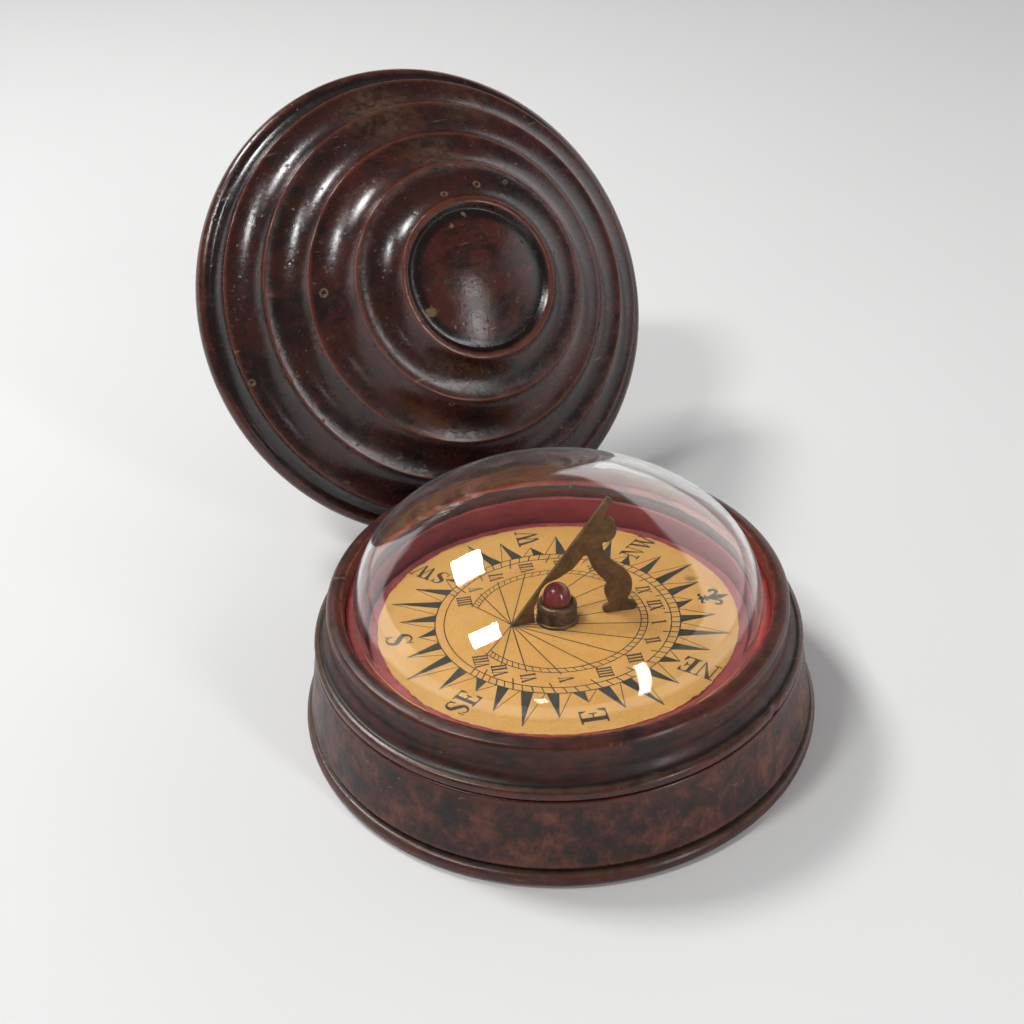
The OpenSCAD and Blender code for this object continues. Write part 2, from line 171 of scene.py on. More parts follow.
class Shader:
    """Builds the nodes of one material or of the surroundings."""

    def __init__(self, owner: bpy.types.Material | bpy.types.World) -> None:
        """Starts with an empty tree.

        Args:
            owner: The material or the surroundings whose nodes are built.
        """
        self.owner = owner
        owner.use_nodes = True
        self.tree = owner.node_tree
        self.tree.nodes.clear()

    @classmethod
    def named(cls, name: str) -> Shader:
        """Shader of a new material."""
        return cls(bpy.data.materials.new(name))

    def node(
        self,
        kind: str,
        settings: dict[str, Any] | None = None,
        sockets: dict[Any, Any] | None = None,
        output: int | str = 0,
    ) -> Wire:
        """Adds a node, sets it, then feeds its sockets.

        Args:
            kind: The node's type.
            settings: Its settings; stops gives a ramp's places and colours.
            sockets: Values or wires by socket name or number.
            output: The output that the result wraps.

        Returns:
            The wrapped output.
        """
        made = self.tree.nodes.new(kind)
        for key, value in (settings or {}).items():
            if key == "stops":
                self._stops(made.color_ramp, value)
            else:
                setattr(made, key, value)
        for key, value in (sockets or {}).items():
            if isinstance(value, Wire):
                self.tree.links.new(value.socket, made.inputs[key])
            elif isinstance(value, tuple) and made.inputs[key].type == "RGBA" and len(value) == 3:
                made.inputs[key].default_value = (*value, 1.0)
            else:
                made.inputs[key].default_value = value
        return Wire(self, made.outputs[output])

    @staticmethod
    def _stops(ramp: bpy.types.ColorRamp, stops: Stops) -> None:
        """Writes a ramp's places and colours.

        Args:
            ramp: The ramp to fill.
            stops: Its places from 0 to 1, each with a colour.
        """
        while len(ramp.elements) < len(stops):
            ramp.elements.new(0.5)
        for element, (place, colour) in zip(ramp.elements, stops):
            element.position = place
            element.color = (*colour, 1.0)

    def place(self, frame: Frame = UPRIGHT) -> Wire:
        """Object coordinates in millimetres on a piece's own frame.

        Args:
            frame: Where the piece lies.

        Returns:
            The coordinates.
        """
        here = self.node("ShaderNodeTexCoord", output="Object")
        turned = {"Vector": here, "Location": tuple(value * MM for value in frame.origin)}
        turned["Rotation"] = tuple(math.radians(turn) for turn in frame.turns)
        turned["Scale"] = (MM, MM, MM)
        return self.node("ShaderNodeMapping", {"vector_type": "TEXTURE"}, turned)

    def stretch(self, place: Wire, factors: Triple, shift: Triple = (0.0, 0.0, 0.0)) -> Wire:
        """Scales and shifts coordinates."""
        return self.node("ShaderNodeMapping", None, {"Vector": place, "Scale": factors, "Location": shift})

    def noise(self, place: Wire, size: float, detail: float, rough: float, warp: float = 0.0) -> Wire:
        """Noise from 0 to 1 whose patches are about size millimetres wide."""
        sockets = {"Vector": place, "Scale": 1.0 / size, "Detail": detail, "Roughness": rough, "Distortion": warp}
        return self.node("ShaderNodeTexNoise", None, sockets)

    def patches(self, place: Wire, size: float, detail: float, rough: float, low: float, high: float) -> Wire:
        """Soft-edged patches, where noise of the given size steps up from low to high."""
        return self.step(self.noise(place, size, detail, rough), low, high)

    def cells(self, place: Wire, size: float) -> Wire:
        """Distance to scattered points about size millimetres apart."""
        return self.node("ShaderNodeTexVoronoi", None, {"Vector": place, "Scale": 1.0 / size})

    def step(self, value: Wire, low: float, high: float, start: float = 0.0, end: float = 1.0) -> Wire:
        """Smooth step from start at low to end at high."""
        sockets = {0: value, 1: low, 2: high, 3: start, 4: end}
        return self.node("ShaderNodeMapRange", {"interpolation_type": "SMOOTHSTEP"}, sockets)

    def attribute(self, name: str) -> Wire:
        """A number that the mesh carries at each point."""
        return self.node("ShaderNodeAttribute", {"attribute_name": name}, None, "Fac")

    def ramp(self, value: Wire, stops: Stops) -> Wire:
        """Colours along a value."""
        return self.node("ShaderNodeValToRGB", {"stops": stops}, {0: value})

    def mix(self, factor: Wire | float, low: Wire | Colour, high: Wire | Colour) -> Wire:
        """Colour between low and high."""
        return self.node("ShaderNodeMix", {"data_type": "RGBA"}, {0: factor, 6: low, 7: high}, 2)

    def axis(self, place: Wire, letter: str) -> Wire:
        """One coordinate."""
        return self.node("ShaderNodeSeparateXYZ", None, {0: place}, letter)

    def distance(self, place: Wire, point: Triple) -> Wire:
        """Distance from a point, in the units of the coordinates."""
        return self.node("ShaderNodeVectorMath", {"operation": "DISTANCE"}, {0: place, 1: point}, "Value")

    def ragged(self, place: Wire, point: Triple, size: float, detail: float, rough: float, amount: float) -> Wire:
        """Distance from a point with noise of the given size added, for torn outlines."""
        return self.distance(place, point) + self.noise(place, size, detail, rough) * amount

    def around(self, place: Wire) -> Wire:
        """Distance from the Z axis."""
        flat = self.node("ShaderNodeVectorMath", {"operation": "MULTIPLY"}, {0: place, 1: (1.0, 1.0, 0.0)})
        return self.node("ShaderNodeVectorMath", {"operation": "LENGTH"}, {0: flat}, "Value")

    def bump(self, height: Wire, depth: float) -> Wire:
        """Normal that raises height by depth millimetres."""
        return self.node("ShaderNodeBump", None, {"Height": height, "Strength": 1.0, "Distance": depth * MM})

    def blend(self, factor: Wire, low: Wire, high: Wire) -> Wire:
        """Mix of two whole shaders."""
        return self.node("ShaderNodeMixShader", None, {0: factor, 1: low, 2: high})

    def ray(self, kind: str) -> Wire:
        """1 where the light path is of a kind, such as Is Camera Ray."""
        return self.node("ShaderNodeLightPath", output=kind)

    def surface(self, **sockets: Any) -> bpy.types.Material:
        """Ends the material in one Principled shader with the given sockets."""
        named = {key.replace("_", " "): value for key, value in sockets.items()}
        return self.end(self.node("ShaderNodeBsdfPrincipled", None, named))

    def end(self, shader: Wire) -> bpy.types.Material:
        """Joins a shader to the output.

        Args:
            shader: The last shader.

        Returns:
            The material or the surroundings, now complete.
        """
        kind = "World" if isinstance(self.owner, bpy.types.World) else "Material"
        output = self.tree.nodes.new(f"ShaderNodeOutput{kind}")
        self.tree.links.new(shader.socket, output.inputs["Surface"])
        return self.owner


@dataclass(frozen=True)
class Finish:
    """A named finish whose pattern lies on a piece's own frame."""

    name: str
    frame: Frame = UPRIGHT

    def start(self) -> tuple[Shader, Wire]:
        """Shader of a new material, and the piece's coordinates in it."""
        shader = Shader.named(self.name)
        return shader, shader.place(self.frame)

    def material(self) -> bpy.types.Material:
        """The finished material, which every finish builds in its own way."""
        raise NotImplementedError


@dataclass(frozen=True)
class Fruitwood(Finish):
    """Dark polished fruitwood: blotched, rubbed along its edges, and black in its hollows from dirt and painted shade.
    """

    black: Colour = (0.009, 0.0062, 0.0058)
    brown: Colour = (0.034, 0.0105, 0.0078)
    red: Colour = (0.078, 0.0175, 0.0105)
    worn: Colour = (0.17, 0.043, 0.023)
    tan: Colour = (0.32, 0.2, 0.105)
    dust: Colour = (0.095, 0.058, 0.034)
    holes: Spots = ()
    scuffs: Spots = ()
    dusty: Spots = ()
    rub: float = 0.55
    gloss: float = 0.14
    shine: float = 0.5
    relief: float = 0.05
    hole_lip: float = 0.17

    def figured(self, shader: Shader, place: Wire, colour: Wire) -> Wire:
        """Figure of the wood over its blotches, none by default."""
        return colour

    def painted(self, shader: Shader, place: Wire, colour: Wire, patchy: Wire) -> Wire:
        """Paint and dirt over the wood, none by default."""
        return colour

    def material(self) -> bpy.types.Material:
        """Blotches, figure, dirt and painted shade in hollows, wear and paint in turn, then dust, flecks and marks.

        Returns:
            The finished material.
        """
        shader, place = self.start()
        blotch = shader.noise(place, 9.0, 6.0, 0.66, 0.2)
        fibre = shader.noise(shader.stretch(place, (0.12, 1.0, 1.0)), 0.55, 5.0, 0.65)
        cloud = shader.noise(shader.stretch(place, (0.6, 1.0, 1.0), (7.0, 3.0, 5.0)), 2.8, 8.0, 0.74, 0.2)
        stops = ((0.4, self.black), (0.47, self.brown), (0.54, self.red), (0.62, self.brown))
        colour = shader.ramp(blotch * 0.46 + cloud * 0.4 + fibre * 0.14, stops)
        colour = self.figured(shader, place, colour)
        # Painted shade and dirt: hollows and coves go black by how sharply the profile turns inwards there.
        grime_and_shade = shader.step(shader.attribute("groove") * (0.4 + cloud * 1.2), 0.15, 0.65)
        colour = shader.mix(grime_and_shade * 0.9, colour, self.black)
        patchy = shader.patches(place, 3.0, 6.0, 0.72, 0.36, 0.66)
        rubbed = shader.step(shader.attribute("wear") * (0.5 + patchy * 0.7), 0.12, 0.7)
        colour = shader.mix(rubbed * self.rub, colour, self.worn)
        colour = self.painted(shader, place, colour, patchy)
        colour = self._dusted(shader, place, colour, blotch)
        fleck = shader.patches(place, 0.55, 4.0, 0.65, 0.71, 0.77)
        colour = shader.mix(fleck * 0.55, colour, self.tan)
        scratch = self._scratches(shader, place)
        colour = shader.mix(scratch * 0.4, colour, self.tan)
        dents = shader.step(shader.cells(place, 1.3), 0.34, 0.05) * shader.step(cloud, 0.47, 0.6)
        crackle = shader.noise(place, 0.38, 4.0, 0.6)
        wavy = shader.noise(place, 2.0, 3.0, 0.55)
        height = fibre * 0.12 + crackle * 0.3 + wavy * 0.8 - scratch * 0.6 - dents * 0.8 - fleck * 0.5
        colour, height = self._marked(shader, place, colour, height)
        rough = self.gloss + crackle * 0.1 + patchy * 0.12 + fleck * 0.2 - rubbed * (self.gloss * 0.45)
        return shader.surface(
            Base_Color=colour, Roughness=rough, Normal=shader.bump(height, self.relief),
            Specular_IOR_Level=self.shine, Coat_Weight=0.08, Coat_Roughness=0.2,
        )

    def _dusted(self, shader: Shader, place: Wire, colour: Wire, blotch: Wire) -> Wire:
        """Dull dust in specks round each dusty spot.

        Args:
            shader: The shader to build in.
            place: Coordinates on the piece.
            colour: The wood's colour so far.
            blotch: Wide noise that makes the spots uneven.

        Returns:
            The colour with the dust.
        """
        speck = shader.noise(place, 1.9, 8.0, 0.76)
        for point, size in self.dusty:
            near = shader.step(shader.distance(place, point) + blotch * (size * 0.8), size * 1.5, size * 0.7)
            colour = shader.mix(near * shader.step(speck, 0.4, 0.62) * 0.85, colour, self.dust)
        return colour

    def _marked(self, shader: Shader, place: Wire, colour: Wire, height: Wire) -> tuple[Wire, Wire]:
        """Bare scuffs, and worm holes with a pale lip and a pit painted black as shade.

        Args:
            shader: The shader to build in.
            place: Coordinates on the piece.
            colour: The wood's colour so far.
            height: Its relief so far.

        Returns:
            The colour and the relief with the marks.
        """
        for point, size in self.scuffs:
            ragged = shader.ragged(place, point, 0.5, 4.0, 0.7, 1.5)
            colour = shader.mix(shader.step(ragged, 0.75 + size, 0.75 + size * 0.4) * 0.6, colour, self.tan)
        for point, size in self.holes:
            ragged = shader.ragged(place, point, 0.4, 3.0, 0.6, 0.35)
            lip = shader.step(ragged, size * 1.7 + self.hole_lip, size * 1.2 + self.hole_lip)
            # Painted shade: each worm hole's pit is coloured black in place of the dark inside of a real hole.
            pit_shade = shader.step(ragged, size + self.hole_lip, size * 0.6 + self.hole_lip)
            colour = shader.mix(pit_shade * 0.9, shader.mix(lip * 0.45, colour, self.tan), self.black)
            height = height - pit_shade * 4.0
        return colour, height

    def _scratches(self, shader: Shader, place: Wire) -> Wire:
        """Short fine scratches: thin bands of stretched noise, kept where a mask is high.

        Args:
            shader: The shader to build in.
            place: Coordinates on the piece.

        Returns:
            1 on a scratch and 0 elsewhere.
        """
        lines = []
        for turn, shift in ((25.0, 0.0), (-40.0, 13.0)):
            sockets = {"Vector": place, "Rotation": (0.3, 0.2, math.radians(turn)), "Location": (shift, shift, 0.0)}
            lean = shader.node("ShaderNodeMapping", None, {**sockets, "Scale": (0.16, 3.2, 3.2)})
            lines.append(shader.patches(lean, 2.6, 2.0, 0.4, 0.7, 0.75))
        return (lines[0] + lines[1]) * shader.patches(place, 7.0, 3.0, 0.5, 0.5, 0.62)


@dataclass(frozen=True)
class CaseFruitwood(Fruitwood):
    """Fruitwood of the case, with a mottled band, coloured lines, painted highlights along two beads, and stray paint.
    """

    # Pale colour of the painted highlight lines on the shoulder and foot beads.
    bead_highlight_khaki: Colour = (0.1, 0.075, 0.05)
    seam_red: Colour = (0.09, 0.01, 0.009)
    lip_red: Colour = (0.2, 0.017, 0.013)
    burr_colours: Stops = (
        (0.42, (0.013, 0.0075, 0.0068)), (0.49, (0.043, 0.013, 0.0095)), (0.55, (0.1, 0.026, 0.015)),
        (0.63, (0.15, 0.052, 0.028)),
    )
    burr_low: float = 2.8
    burr_high: float = 13.4
    shoulder_highlight_line: tuple[float, float] = (15.05, 0.32)
    seam_line: tuple[float, float] = (13.4, 0.3)
    foot_highlight_line: tuple[float, float] = (2.15, 0.4)
    lip_paint: tuple[float, float] = (30.1, 31.0)

    def figured(self, shader: Shader, place: Wire, colour: Wire) -> Wire:
        """Mottled figure on the flared band: torn red-brown patches on near-black.

        Args:
            shader: The shader to build in.
            place: Coordinates on the case.
            colour: The wood's colour so far.

        Returns:
            The colour with the band.
        """
        up = shader.axis(place, "Z")
        patch = shader.noise(place, 5.0, 8.0, 0.72, 0.1)
        speck = shader.noise(shader.stretch(place, (1.0, 1.0, 0.6), (3.0, 9.0, 1.0)), 1.2, 6.0, 0.75)
        mottled = shader.ramp(patch * 0.66 + speck * 0.34, self.burr_colours)
        inside = shader.step(up, self.burr_low, self.burr_low + 0.6)
        inside = inside * shader.step(up, self.burr_high, self.burr_high - 2.0)
        return shader.mix(inside * shader.step(shader.around(place), 34.0, 34.4), colour, mottled)

    def painted(self, shader: Shader, place: Wire, colour: Wire, patchy: Wire) -> Wire:
        """Painted highlights as pale lines on the shoulder and foot beads, a red seam line, and red paint strayed onto
        the rim's inner slope.

        Args:
            shader: The shader to build in.
            place: Coordinates on the case.
            colour: The wood's colour so far.
            patchy: Noise that wears the lines and the paint.

        Returns:
            The colour with the lines and the paint.
        """
        up = shader.axis(place, "Z") + shader.noise(place, 3.0, 3.0, 0.6) * 0.3 - 0.15
        outside = shader.step(shader.around(place), 33.8, 34.1)
        # Painted highlights: pale lines round the shoulder bead and the foot bead; the red line between them is the
        # seam's own colour.
        tints = (self.bead_highlight_khaki, self.seam_red, self.bead_highlight_khaki)
        for (height, half), tint in zip((self.shoulder_highlight_line, self.seam_line, self.foot_highlight_line), tints):
            near = shader.step(up, height - half, height) * shader.step(up, height + half, height)
            colour = shader.mix(near * outside * (0.35 + patchy * 0.5), colour, tint)
        inner, outer = self.lip_paint
        away = shader.around(place) + shader.noise(place, 1.2, 5.0, 0.7) * 1.4 - 0.7
        strayed = shader.step(away, outer, inner) * shader.step(shader.axis(place, "Z"), 17.0, 17.5)
        kept = shader.step(shader.axis(place, "X"), -12.0, 22.0, 0.3, 1.0)
        return shader.mix(strayed * kept * (0.4 + patchy * 0.6), colour, self.lip_red)


@dataclass(frozen=True)
class RedPaint(Finish):
    """Old red paint with darker smears and rubbed places."""

    colour: Colour = (0.2, 0.017, 0.019)
    dark: Colour = (0.11, 0.0095, 0.011)
    pale: Colour = (0.25, 0.03, 0.03)
    wood: Colour = (0.03, 0.014, 0.011)
    roughness: float = 0.45
    bare_within: float = 0.0
    worn_through: float = 0.0

    def material(self) -> bpy.types.Material:
        """Paint with smears round the axis and fine brush marks, and bare within a radius.

        Returns:
            The finished material.
        """
        shader, place = self.start()
        smear = shader.noise(shader.stretch(place, (1.0, 1.0, 2.5)), 6.0, 5.0, 0.6, 0.5)
        fine = shader.noise(place, 0.6, 4.0, 0.6)
        colour = shader.ramp(smear * 0.75 + fine * 0.25, ((0.34, self.dark), (0.5, self.colour), (0.72, self.pale)))
        if self.bare_within:
            bare = shader.step(shader.around(place), self.bare_within, self.bare_within - 0.15)
            colour = shader.mix(bare, colour, self.wood)
        if self.worn_through:
            gone = shader.patches(place, 1.6, 7.0, 0.75, 0.4, 0.6)
            colour = shader.mix(gone * self.worn_through, colour, self.wood)
        normal = shader.bump(fine * 0.6 + smear * 0.4, 0.05)
        return shader.surface(Base_Color=colour, Roughness=self.roughness + fine * 0.15, Normal=normal)


@dataclass(frozen=True)
class DialPaper(Finish):
    """Honey-coloured varnished paper with foxing and one brown stain."""

    honey: Colour = (0.408, 0.197, 0.031)
    pale: Colour = (0.455, 0.25, 0.062)
    foxing: Colour = (0.25, 0.1, 0.028)
    stain: Colour = (0.12, 0.045, 0.014)
    stain_at: Triple = (20.3, 8.7, 0.0)

    def material(self) -> bpy.types.Material:
        """Paper that is paler towards its rim, with fine fibre, foxing spots and a stain.

        Returns:
            The finished material.
        """
        shader, place = self.start()
        fibre = shader.noise(place, 0.32, 5.0, 0.75)
        rim = shader.step(shader.around(place), 12.0, 25.5)
        wide = shader.patches(place, 6.0, 8.0, 0.7, 0.35, 0.65)
        colour = shader.mix(rim * 0.4 + wide * 0.6, self.honey, self.pale)
        browned = shader.patches(place, 3.5, 8.0, 0.75, 0.5, 0.68)
        spots = shader.patches(place, 1.5, 6.0, 0.75, 0.58, 0.74)
        for amount in (browned * 0.22, spots * 0.5, shader.step(fibre, 0.47, 0.66) * 0.34):
            colour = shader.mix(amount, colour, self.foxing)
        colour = shader.mix(shader.step(fibre, 0.47, 0.34) * 0.4, colour, self.pale)
        ragged = shader.ragged(place, self.stain_at, 1.4, 5.0, 0.7, 2.2)
        colour = shader.mix(shader.step(ragged, 2.4, 1.1) * 0.7, colour, self.stain)
        rough, normal = 0.5 + fibre * 0.15, shader.bump(fibre, 0.015)
        return shader.surface(Base_Color=colour, Roughness=rough, Normal=normal, Coat_Weight=0.08)


@dataclass(frozen=True)
class PrintersInk(Finish):
    """Black engraver's ink with a green cast, thin in places."""

    ink: Colour = (0.012, 0.0125, 0.009)
    faded: Colour = (0.11, 0.08, 0.04)

    def material(self) -> bpy.types.Material:
        """Ink that fades in small flecks.

        Returns:
            The finished material.
        """
        shader, place = self.start()
        fleck = shader.patches(place, 0.45, 5.0, 0.7, 0.5, 0.72)
        wide = shader.patches(place, 5.0, 3.0, 0.6, 0.5, 0.75)
        colour = shader.mix(fleck * 0.45 + wide * 0.25, self.ink, self.faded)
        return shader.surface(Base_Color=colour, Roughness=0.55 + fleck * 0.2)


@dataclass(frozen=True)
class OldBrass(Finish):
    """Brass under brown patina, bare where it is handled."""

    bare: Colour = (0.36, 0.2, 0.07)
    patina: Colour = (0.085, 0.042, 0.016)
    crust: Colour = (0.03, 0.035, 0.03)
    crusted: float = 0.25
    shine: float = 0.38
    metal: float = 0.85

    def material(self) -> bpy.types.Material:
        """Patina in clouds, with bare metal on edges and crust in its deepest places.

        Returns:
            The finished material.
        """
        shader, place = self.start()
        cloud = shader.noise(place, 2.4, 6.0, 0.68, 0.4)
        fine = shader.noise(place, 0.35, 5.0, 0.7)
        tone = cloud * 0.7 + fine * 0.3
        colour = shader.mix(shader.step(tone, 0.4, 0.68), self.patina, self.bare)
        colour = shader.mix(shader.step(shader.attribute("wear"), 0.3, 1.0) * 0.5, colour, self.bare)
        metal: Wire | float = self.metal
        if self.crusted:
            below = self.crusted * 0.3
            deep = shader.step(tone, 0.56 - below, 0.4 - below)
            colour = shader.mix(deep, colour, self.crust)
            metal = self.metal - deep * 0.6
        normal = shader.bump(fine * 0.6 + cloud * 0.4, 0.03)
        return shader.surface(Base_Color=colour, Metallic=metal, Roughness=self.shine + fine * 0.22, Normal=normal)


@dataclass(frozen=True)
class OldSteel(Finish):
    """Ground steel, grey or blued, with a few rust specks."""

    bare: Colour = (0.32, 0.33, 0.35)
    blued: Colour = (0.1, 0.11, 0.14)
    rust: Colour = (0.16, 0.06, 0.03)

    def material(self) -> bpy.types.Material:
        """Grinding lines with clouds of blueing and rust.

        Returns:
            The finished material.
        """
        shader, place = self.start()
        lines = shader.noise(shader.stretch(place, (0.08, 2.0, 2.0)), 0.5, 4.0, 0.6)
        colour = shader.mix(shader.patches(place, 3.0, 5.0, 0.6, 0.35, 0.65), self.bare, self.blued)
        rust = shader.patches(place, 0.9, 6.0, 0.7, 0.62, 0.74)
        colour = shader.mix(rust * 0.7, colour, self.rust)
        metal, rough = 1.0 - rust * 0.8, 0.28 + lines * 0.2 + rust * 0.3
        return shader.surface(Base_Color=colour, Metallic=metal, Roughness=rough, Normal=shader.bump(lines, 0.01))


@dataclass(frozen=True)
class Garnet(Finish):
    """Polished cabochon garnet, deep red and clear."""

    colour: Colour = (0.155, 0.0115, 0.0145)
    smoke: Colour = (0.11, 0.01, 0.012)

    def material(self) -> bpy.types.Material:
        """Clear red stone with faint clouds inside.

        Returns:
            The finished material.
        """
        shader, place = self.start()
        cloud = shader.noise(place, 1.6, 4.0, 0.6, 0.3)
        colour = shader.mix(shader.step(cloud, 0.4, 0.7), self.colour, self.smoke)
        rough = 0.12 + shader.noise(place, 0.4, 3.0, 0.6) * 0.08
        return shader.surface(
            Base_Color=colour, Roughness=rough, IOR=1.7, Transmission_Weight=0.12,
            Subsurface_Weight=0.6, Subsurface_Scale=0.001, Subsurface_Radius=(1.6, 0.3, 0.3),
        )


@dataclass(frozen=True)
class ClearGlass(Finish):
    """Clear blown glass with a faint film and a painted sheen, which lets light through to the card."""

    tint: Colour = (0.985, 0.99, 0.985)
    shade: Colour = (0.95, 0.96, 0.95)
    film: Colour = (0.8, 0.8, 0.8)

    def material(self) -> bpy.types.Material:
        """Glass with faint waves and smudges; a pale film shows towards the rim and most on the right, partly dust and
        partly painted reflection.

        Returns:
            The finished material.
        """
        shader, place = self.start()
        smudge = shader.patches(place, 5.0, 6.0, 0.75, 0.62, 0.8)
        glass = shader.node("ShaderNodeBsdfPrincipled", None, {
            "Base Color": self.tint, "Roughness": smudge * 0.03, "IOR": 1.5, "Transmission Weight": 1.0,
            "Normal": shader.bump(shader.noise(place, 9.0, 2.0, 0.5), 0.05),
        })
        film = shader.node("ShaderNodeBsdfDiffuse", None, {"Color": self.film})
        edge = shader.node("ShaderNodeLayerWeight", None, {"Blend": 0.5}, "Facing")
        # Painted reflection: a pale diffuse film grows towards the rim and to the right, where the glass mirrors a
        # bright room; the smudges add dust.
        right = shader.step(shader.axis(place, "X"), -8.0, 26.0)
        film_and_sheen = edge**4.0 * (0.1 + right * 0.34 + smudge * 0.08)
        open_way = shader.node("ShaderNodeBsdfTransparent", None, {"Color": self.shade})
        return shader.end(shader.blend(shader.ray("Is Shadow Ray"), shader.blend(film_and_sheen, glass, film), open_way))


@dataclass(frozen=True)
class PastedPaper(Finish):
    """Buff paper strips pasted under the card."""

    buff: Colour = (0.56, 0.43, 0.26)
    paste: Colour = (0.36, 0.24, 0.12)

    def material(self) -> bpy.types.Material:
        """Laid paper with brown paste marks.

        Returns:
            The finished material.
        """
        shader, place = self.start()
        fibre = shader.noise(shader.stretch(place, (0.3, 1.5, 1.0)), 0.6, 5.0, 0.7)
        mark = shader.patches(place, 2.5, 4.0, 0.6, 0.5, 0.7)
        colour = shader.mix(mark * 0.7, self.buff, self.paste)
        return shader.surface(Base_Color=colour, Roughness=0.75 + fibre * 0.15, Normal=shader.bump(fibre, 0.03))


def arc(centre: tuple[float, float], radius: float, start: float, end: float, count: int) -> np.ndarray:
    """Points on a circle from one angle to another.

    Each point is the centre plus the radius times the cosine and sine of its angle.

    Args:
        centre: Middle of the circle.
        radius: Its radius.
        start: Angle of the first point, in degrees.
        end: Angle of the last point, in degrees.
        count: How many points.

    Returns:
        The points in order.
    """
    angle = np.radians(np.linspace(start, end, count))
    return np.stack([centre[0] + radius * np.cos(angle), centre[1] + radius * np.sin(angle)], axis=1)


def crown(height: float, radius: float, start: float, count: int) -> np.ndarray:
    """Arc about a centre on the axis, from an angle up to the axis itself.

    Args:
        height: Height of the centre.
        radius: Radius of the arc.
        start: Angle of the first point, in degrees.
        count: How many points.

    Returns:
        The points, the last of them on the axis.
    """
    line = arc((0.0, height), radius, start, 90, count)
    line[-1, 0] = 0.0
    return line


def cove(low: tuple[float, float], high: tuple[float, float], depth: float, count: int) -> np.ndarray:
    """Arc from low to high that dips by depth to the right of the straight way.

    The radius is a quarter of the squared chord plus the squared depth, over twice the depth.

    Args:
        low: Where the arc starts.
        high: Where it ends.
        depth: How far its middle dips.
        count: How many points between the two ends.

    Returns:
        The arc's inner points, without its two ends.
    """
    first, last = np.array(low), np.array(high)
    way = last - first
    span = float(np.hypot(*way))
    radius = (span * span / 4 + depth * depth) / (2 * depth)
    side = np.array([way[1], -way[0]]) / span
    centre = (first + last) / 2 + side * (radius - depth)
    angles = np.unwrap([math.atan2(*(first - centre)[::-1]), math.atan2(*(last - centre)[::-1])])
    angle = np.linspace(angles[0], angles[1], count + 2)[1:-1]
    return centre + radius * np.stack([np.cos(angle), np.sin(angle)], axis=1)


def rounded(corners: Sequence[Triple], closed: bool = False) -> np.ndarray:
    """Polyline whose corners are replaced by arcs.

    The arc touches both sides at the radius times the tangent of half the turn from the
    corner, and never takes up more than half of a side. A radius of 0 keeps the corner.

    Args:
        corners: The corners, each with its place and its radius.
        closed: Whether the last corner joins the first.

    Returns:
        The points in order.
    """
    nearly_straight, step = math.radians(89), math.radians(14)
    points = np.array(corners, dtype=float)
    count = len(points)
    pieces: list[np.ndarray] = []
    for index, (x, y, radius) in enumerate(points):
        here = np.array([x, y])
        back = points[index - 1, :2] - here
        on = points[(index + 1) % count, :2] - here
        back_length, on_length = np.hypot(*back), np.hypot(*on)
        back, on = back / back_length, on / on_length
        half = math.acos(float(np.clip(back @ on, -1, 1))) / 2
        if radius <= 0 or half > nearly_straight or (not closed and index in (0, count - 1)):
            pieces.append(here[None])
            continue
        reach = min(radius / math.tan(half), 0.49 * back_length, 0.49 * on_length)
        radius = reach * math.tan(half)
        middle = here + (back + on) / np.linalg.norm(back + on) * radius / math.sin(half)
        first, last = here + back * reach - middle, here + on * reach - middle
        angles = np.unwrap([math.atan2(first[1], first[0]), math.atan2(last[1], last[0])])
        angle = np.linspace(angles[0], angles[1], max(3, int(abs(angles[1] - angles[0]) / step) + 1))
        pieces.append(middle + radius * np.stack([np.cos(angle), np.sin(angle)], axis=1))
    return np.vstack(pieces)


def divided(line: np.ndarray, longest: float) -> np.ndarray:
    """Polyline with its long stretches cut into equal parts.

    Args:
        line: The polyline.
        longest: The longest part that is let stand.

    Returns:
        The polyline with the added points and without repeated ones.
    """
    length = np.hypot(*np.diff(line, axis=0).T)
    line, length = line[np.append(True, length > 1e-6)], length[length > 1e-6]
    parts = np.maximum(1, np.ceil(length / longest)).astype(int)
    stretch = np.repeat(np.arange(len(parts)), parts)
    share = (np.arange(parts.sum()) - np.repeat(np.cumsum(parts) - parts, parts)) / parts[stretch]
    inner = line[stretch] + share[:, None] * (line[stretch + 1] - line[stretch])
    return np.vstack([inner, line[-1:]])


def edge_marks(line: np.ndarray, closed: bool, reach: float) -> tuple[np.ndarray, np.ndarray]:
    """How strongly a profile turns outwards and inwards near each of its points.

    The turn at every point is split by sign, spread by a bell curve along the profile,
    and divided by one radian.

    Args:
        line: The profile.
        closed: Whether its last point joins the first.
        reach: Half width of the bell curve.

    Returns:
        The wear, from turns to the left, and the grooves, from turns to the right.
    """
    ring = np.vstack([line[-1:], line, line[:1]]) if closed else np.vstack([line[:1], line, line[-1:]])
    way = np.diff(ring, axis=0)
    if not closed:
        way[0], way[-1] = way[1], way[-2]
    heading = np.arctan2(way[:, 1], way[:, 0])
    turn = (np.diff(heading) + math.pi) % (2 * math.pi) - math.pi
    along = np.append(0.0, np.cumsum(np.hypot(*np.diff(line, axis=0).T)))
    spread = np.exp(-(((along[:, None] - along[None]) / reach) ** 2))
    return np.clip(spread @ np.maximum(turn, 0), 0, 1), np.clip(spread @ np.maximum(-turn, 0), 0, 1)


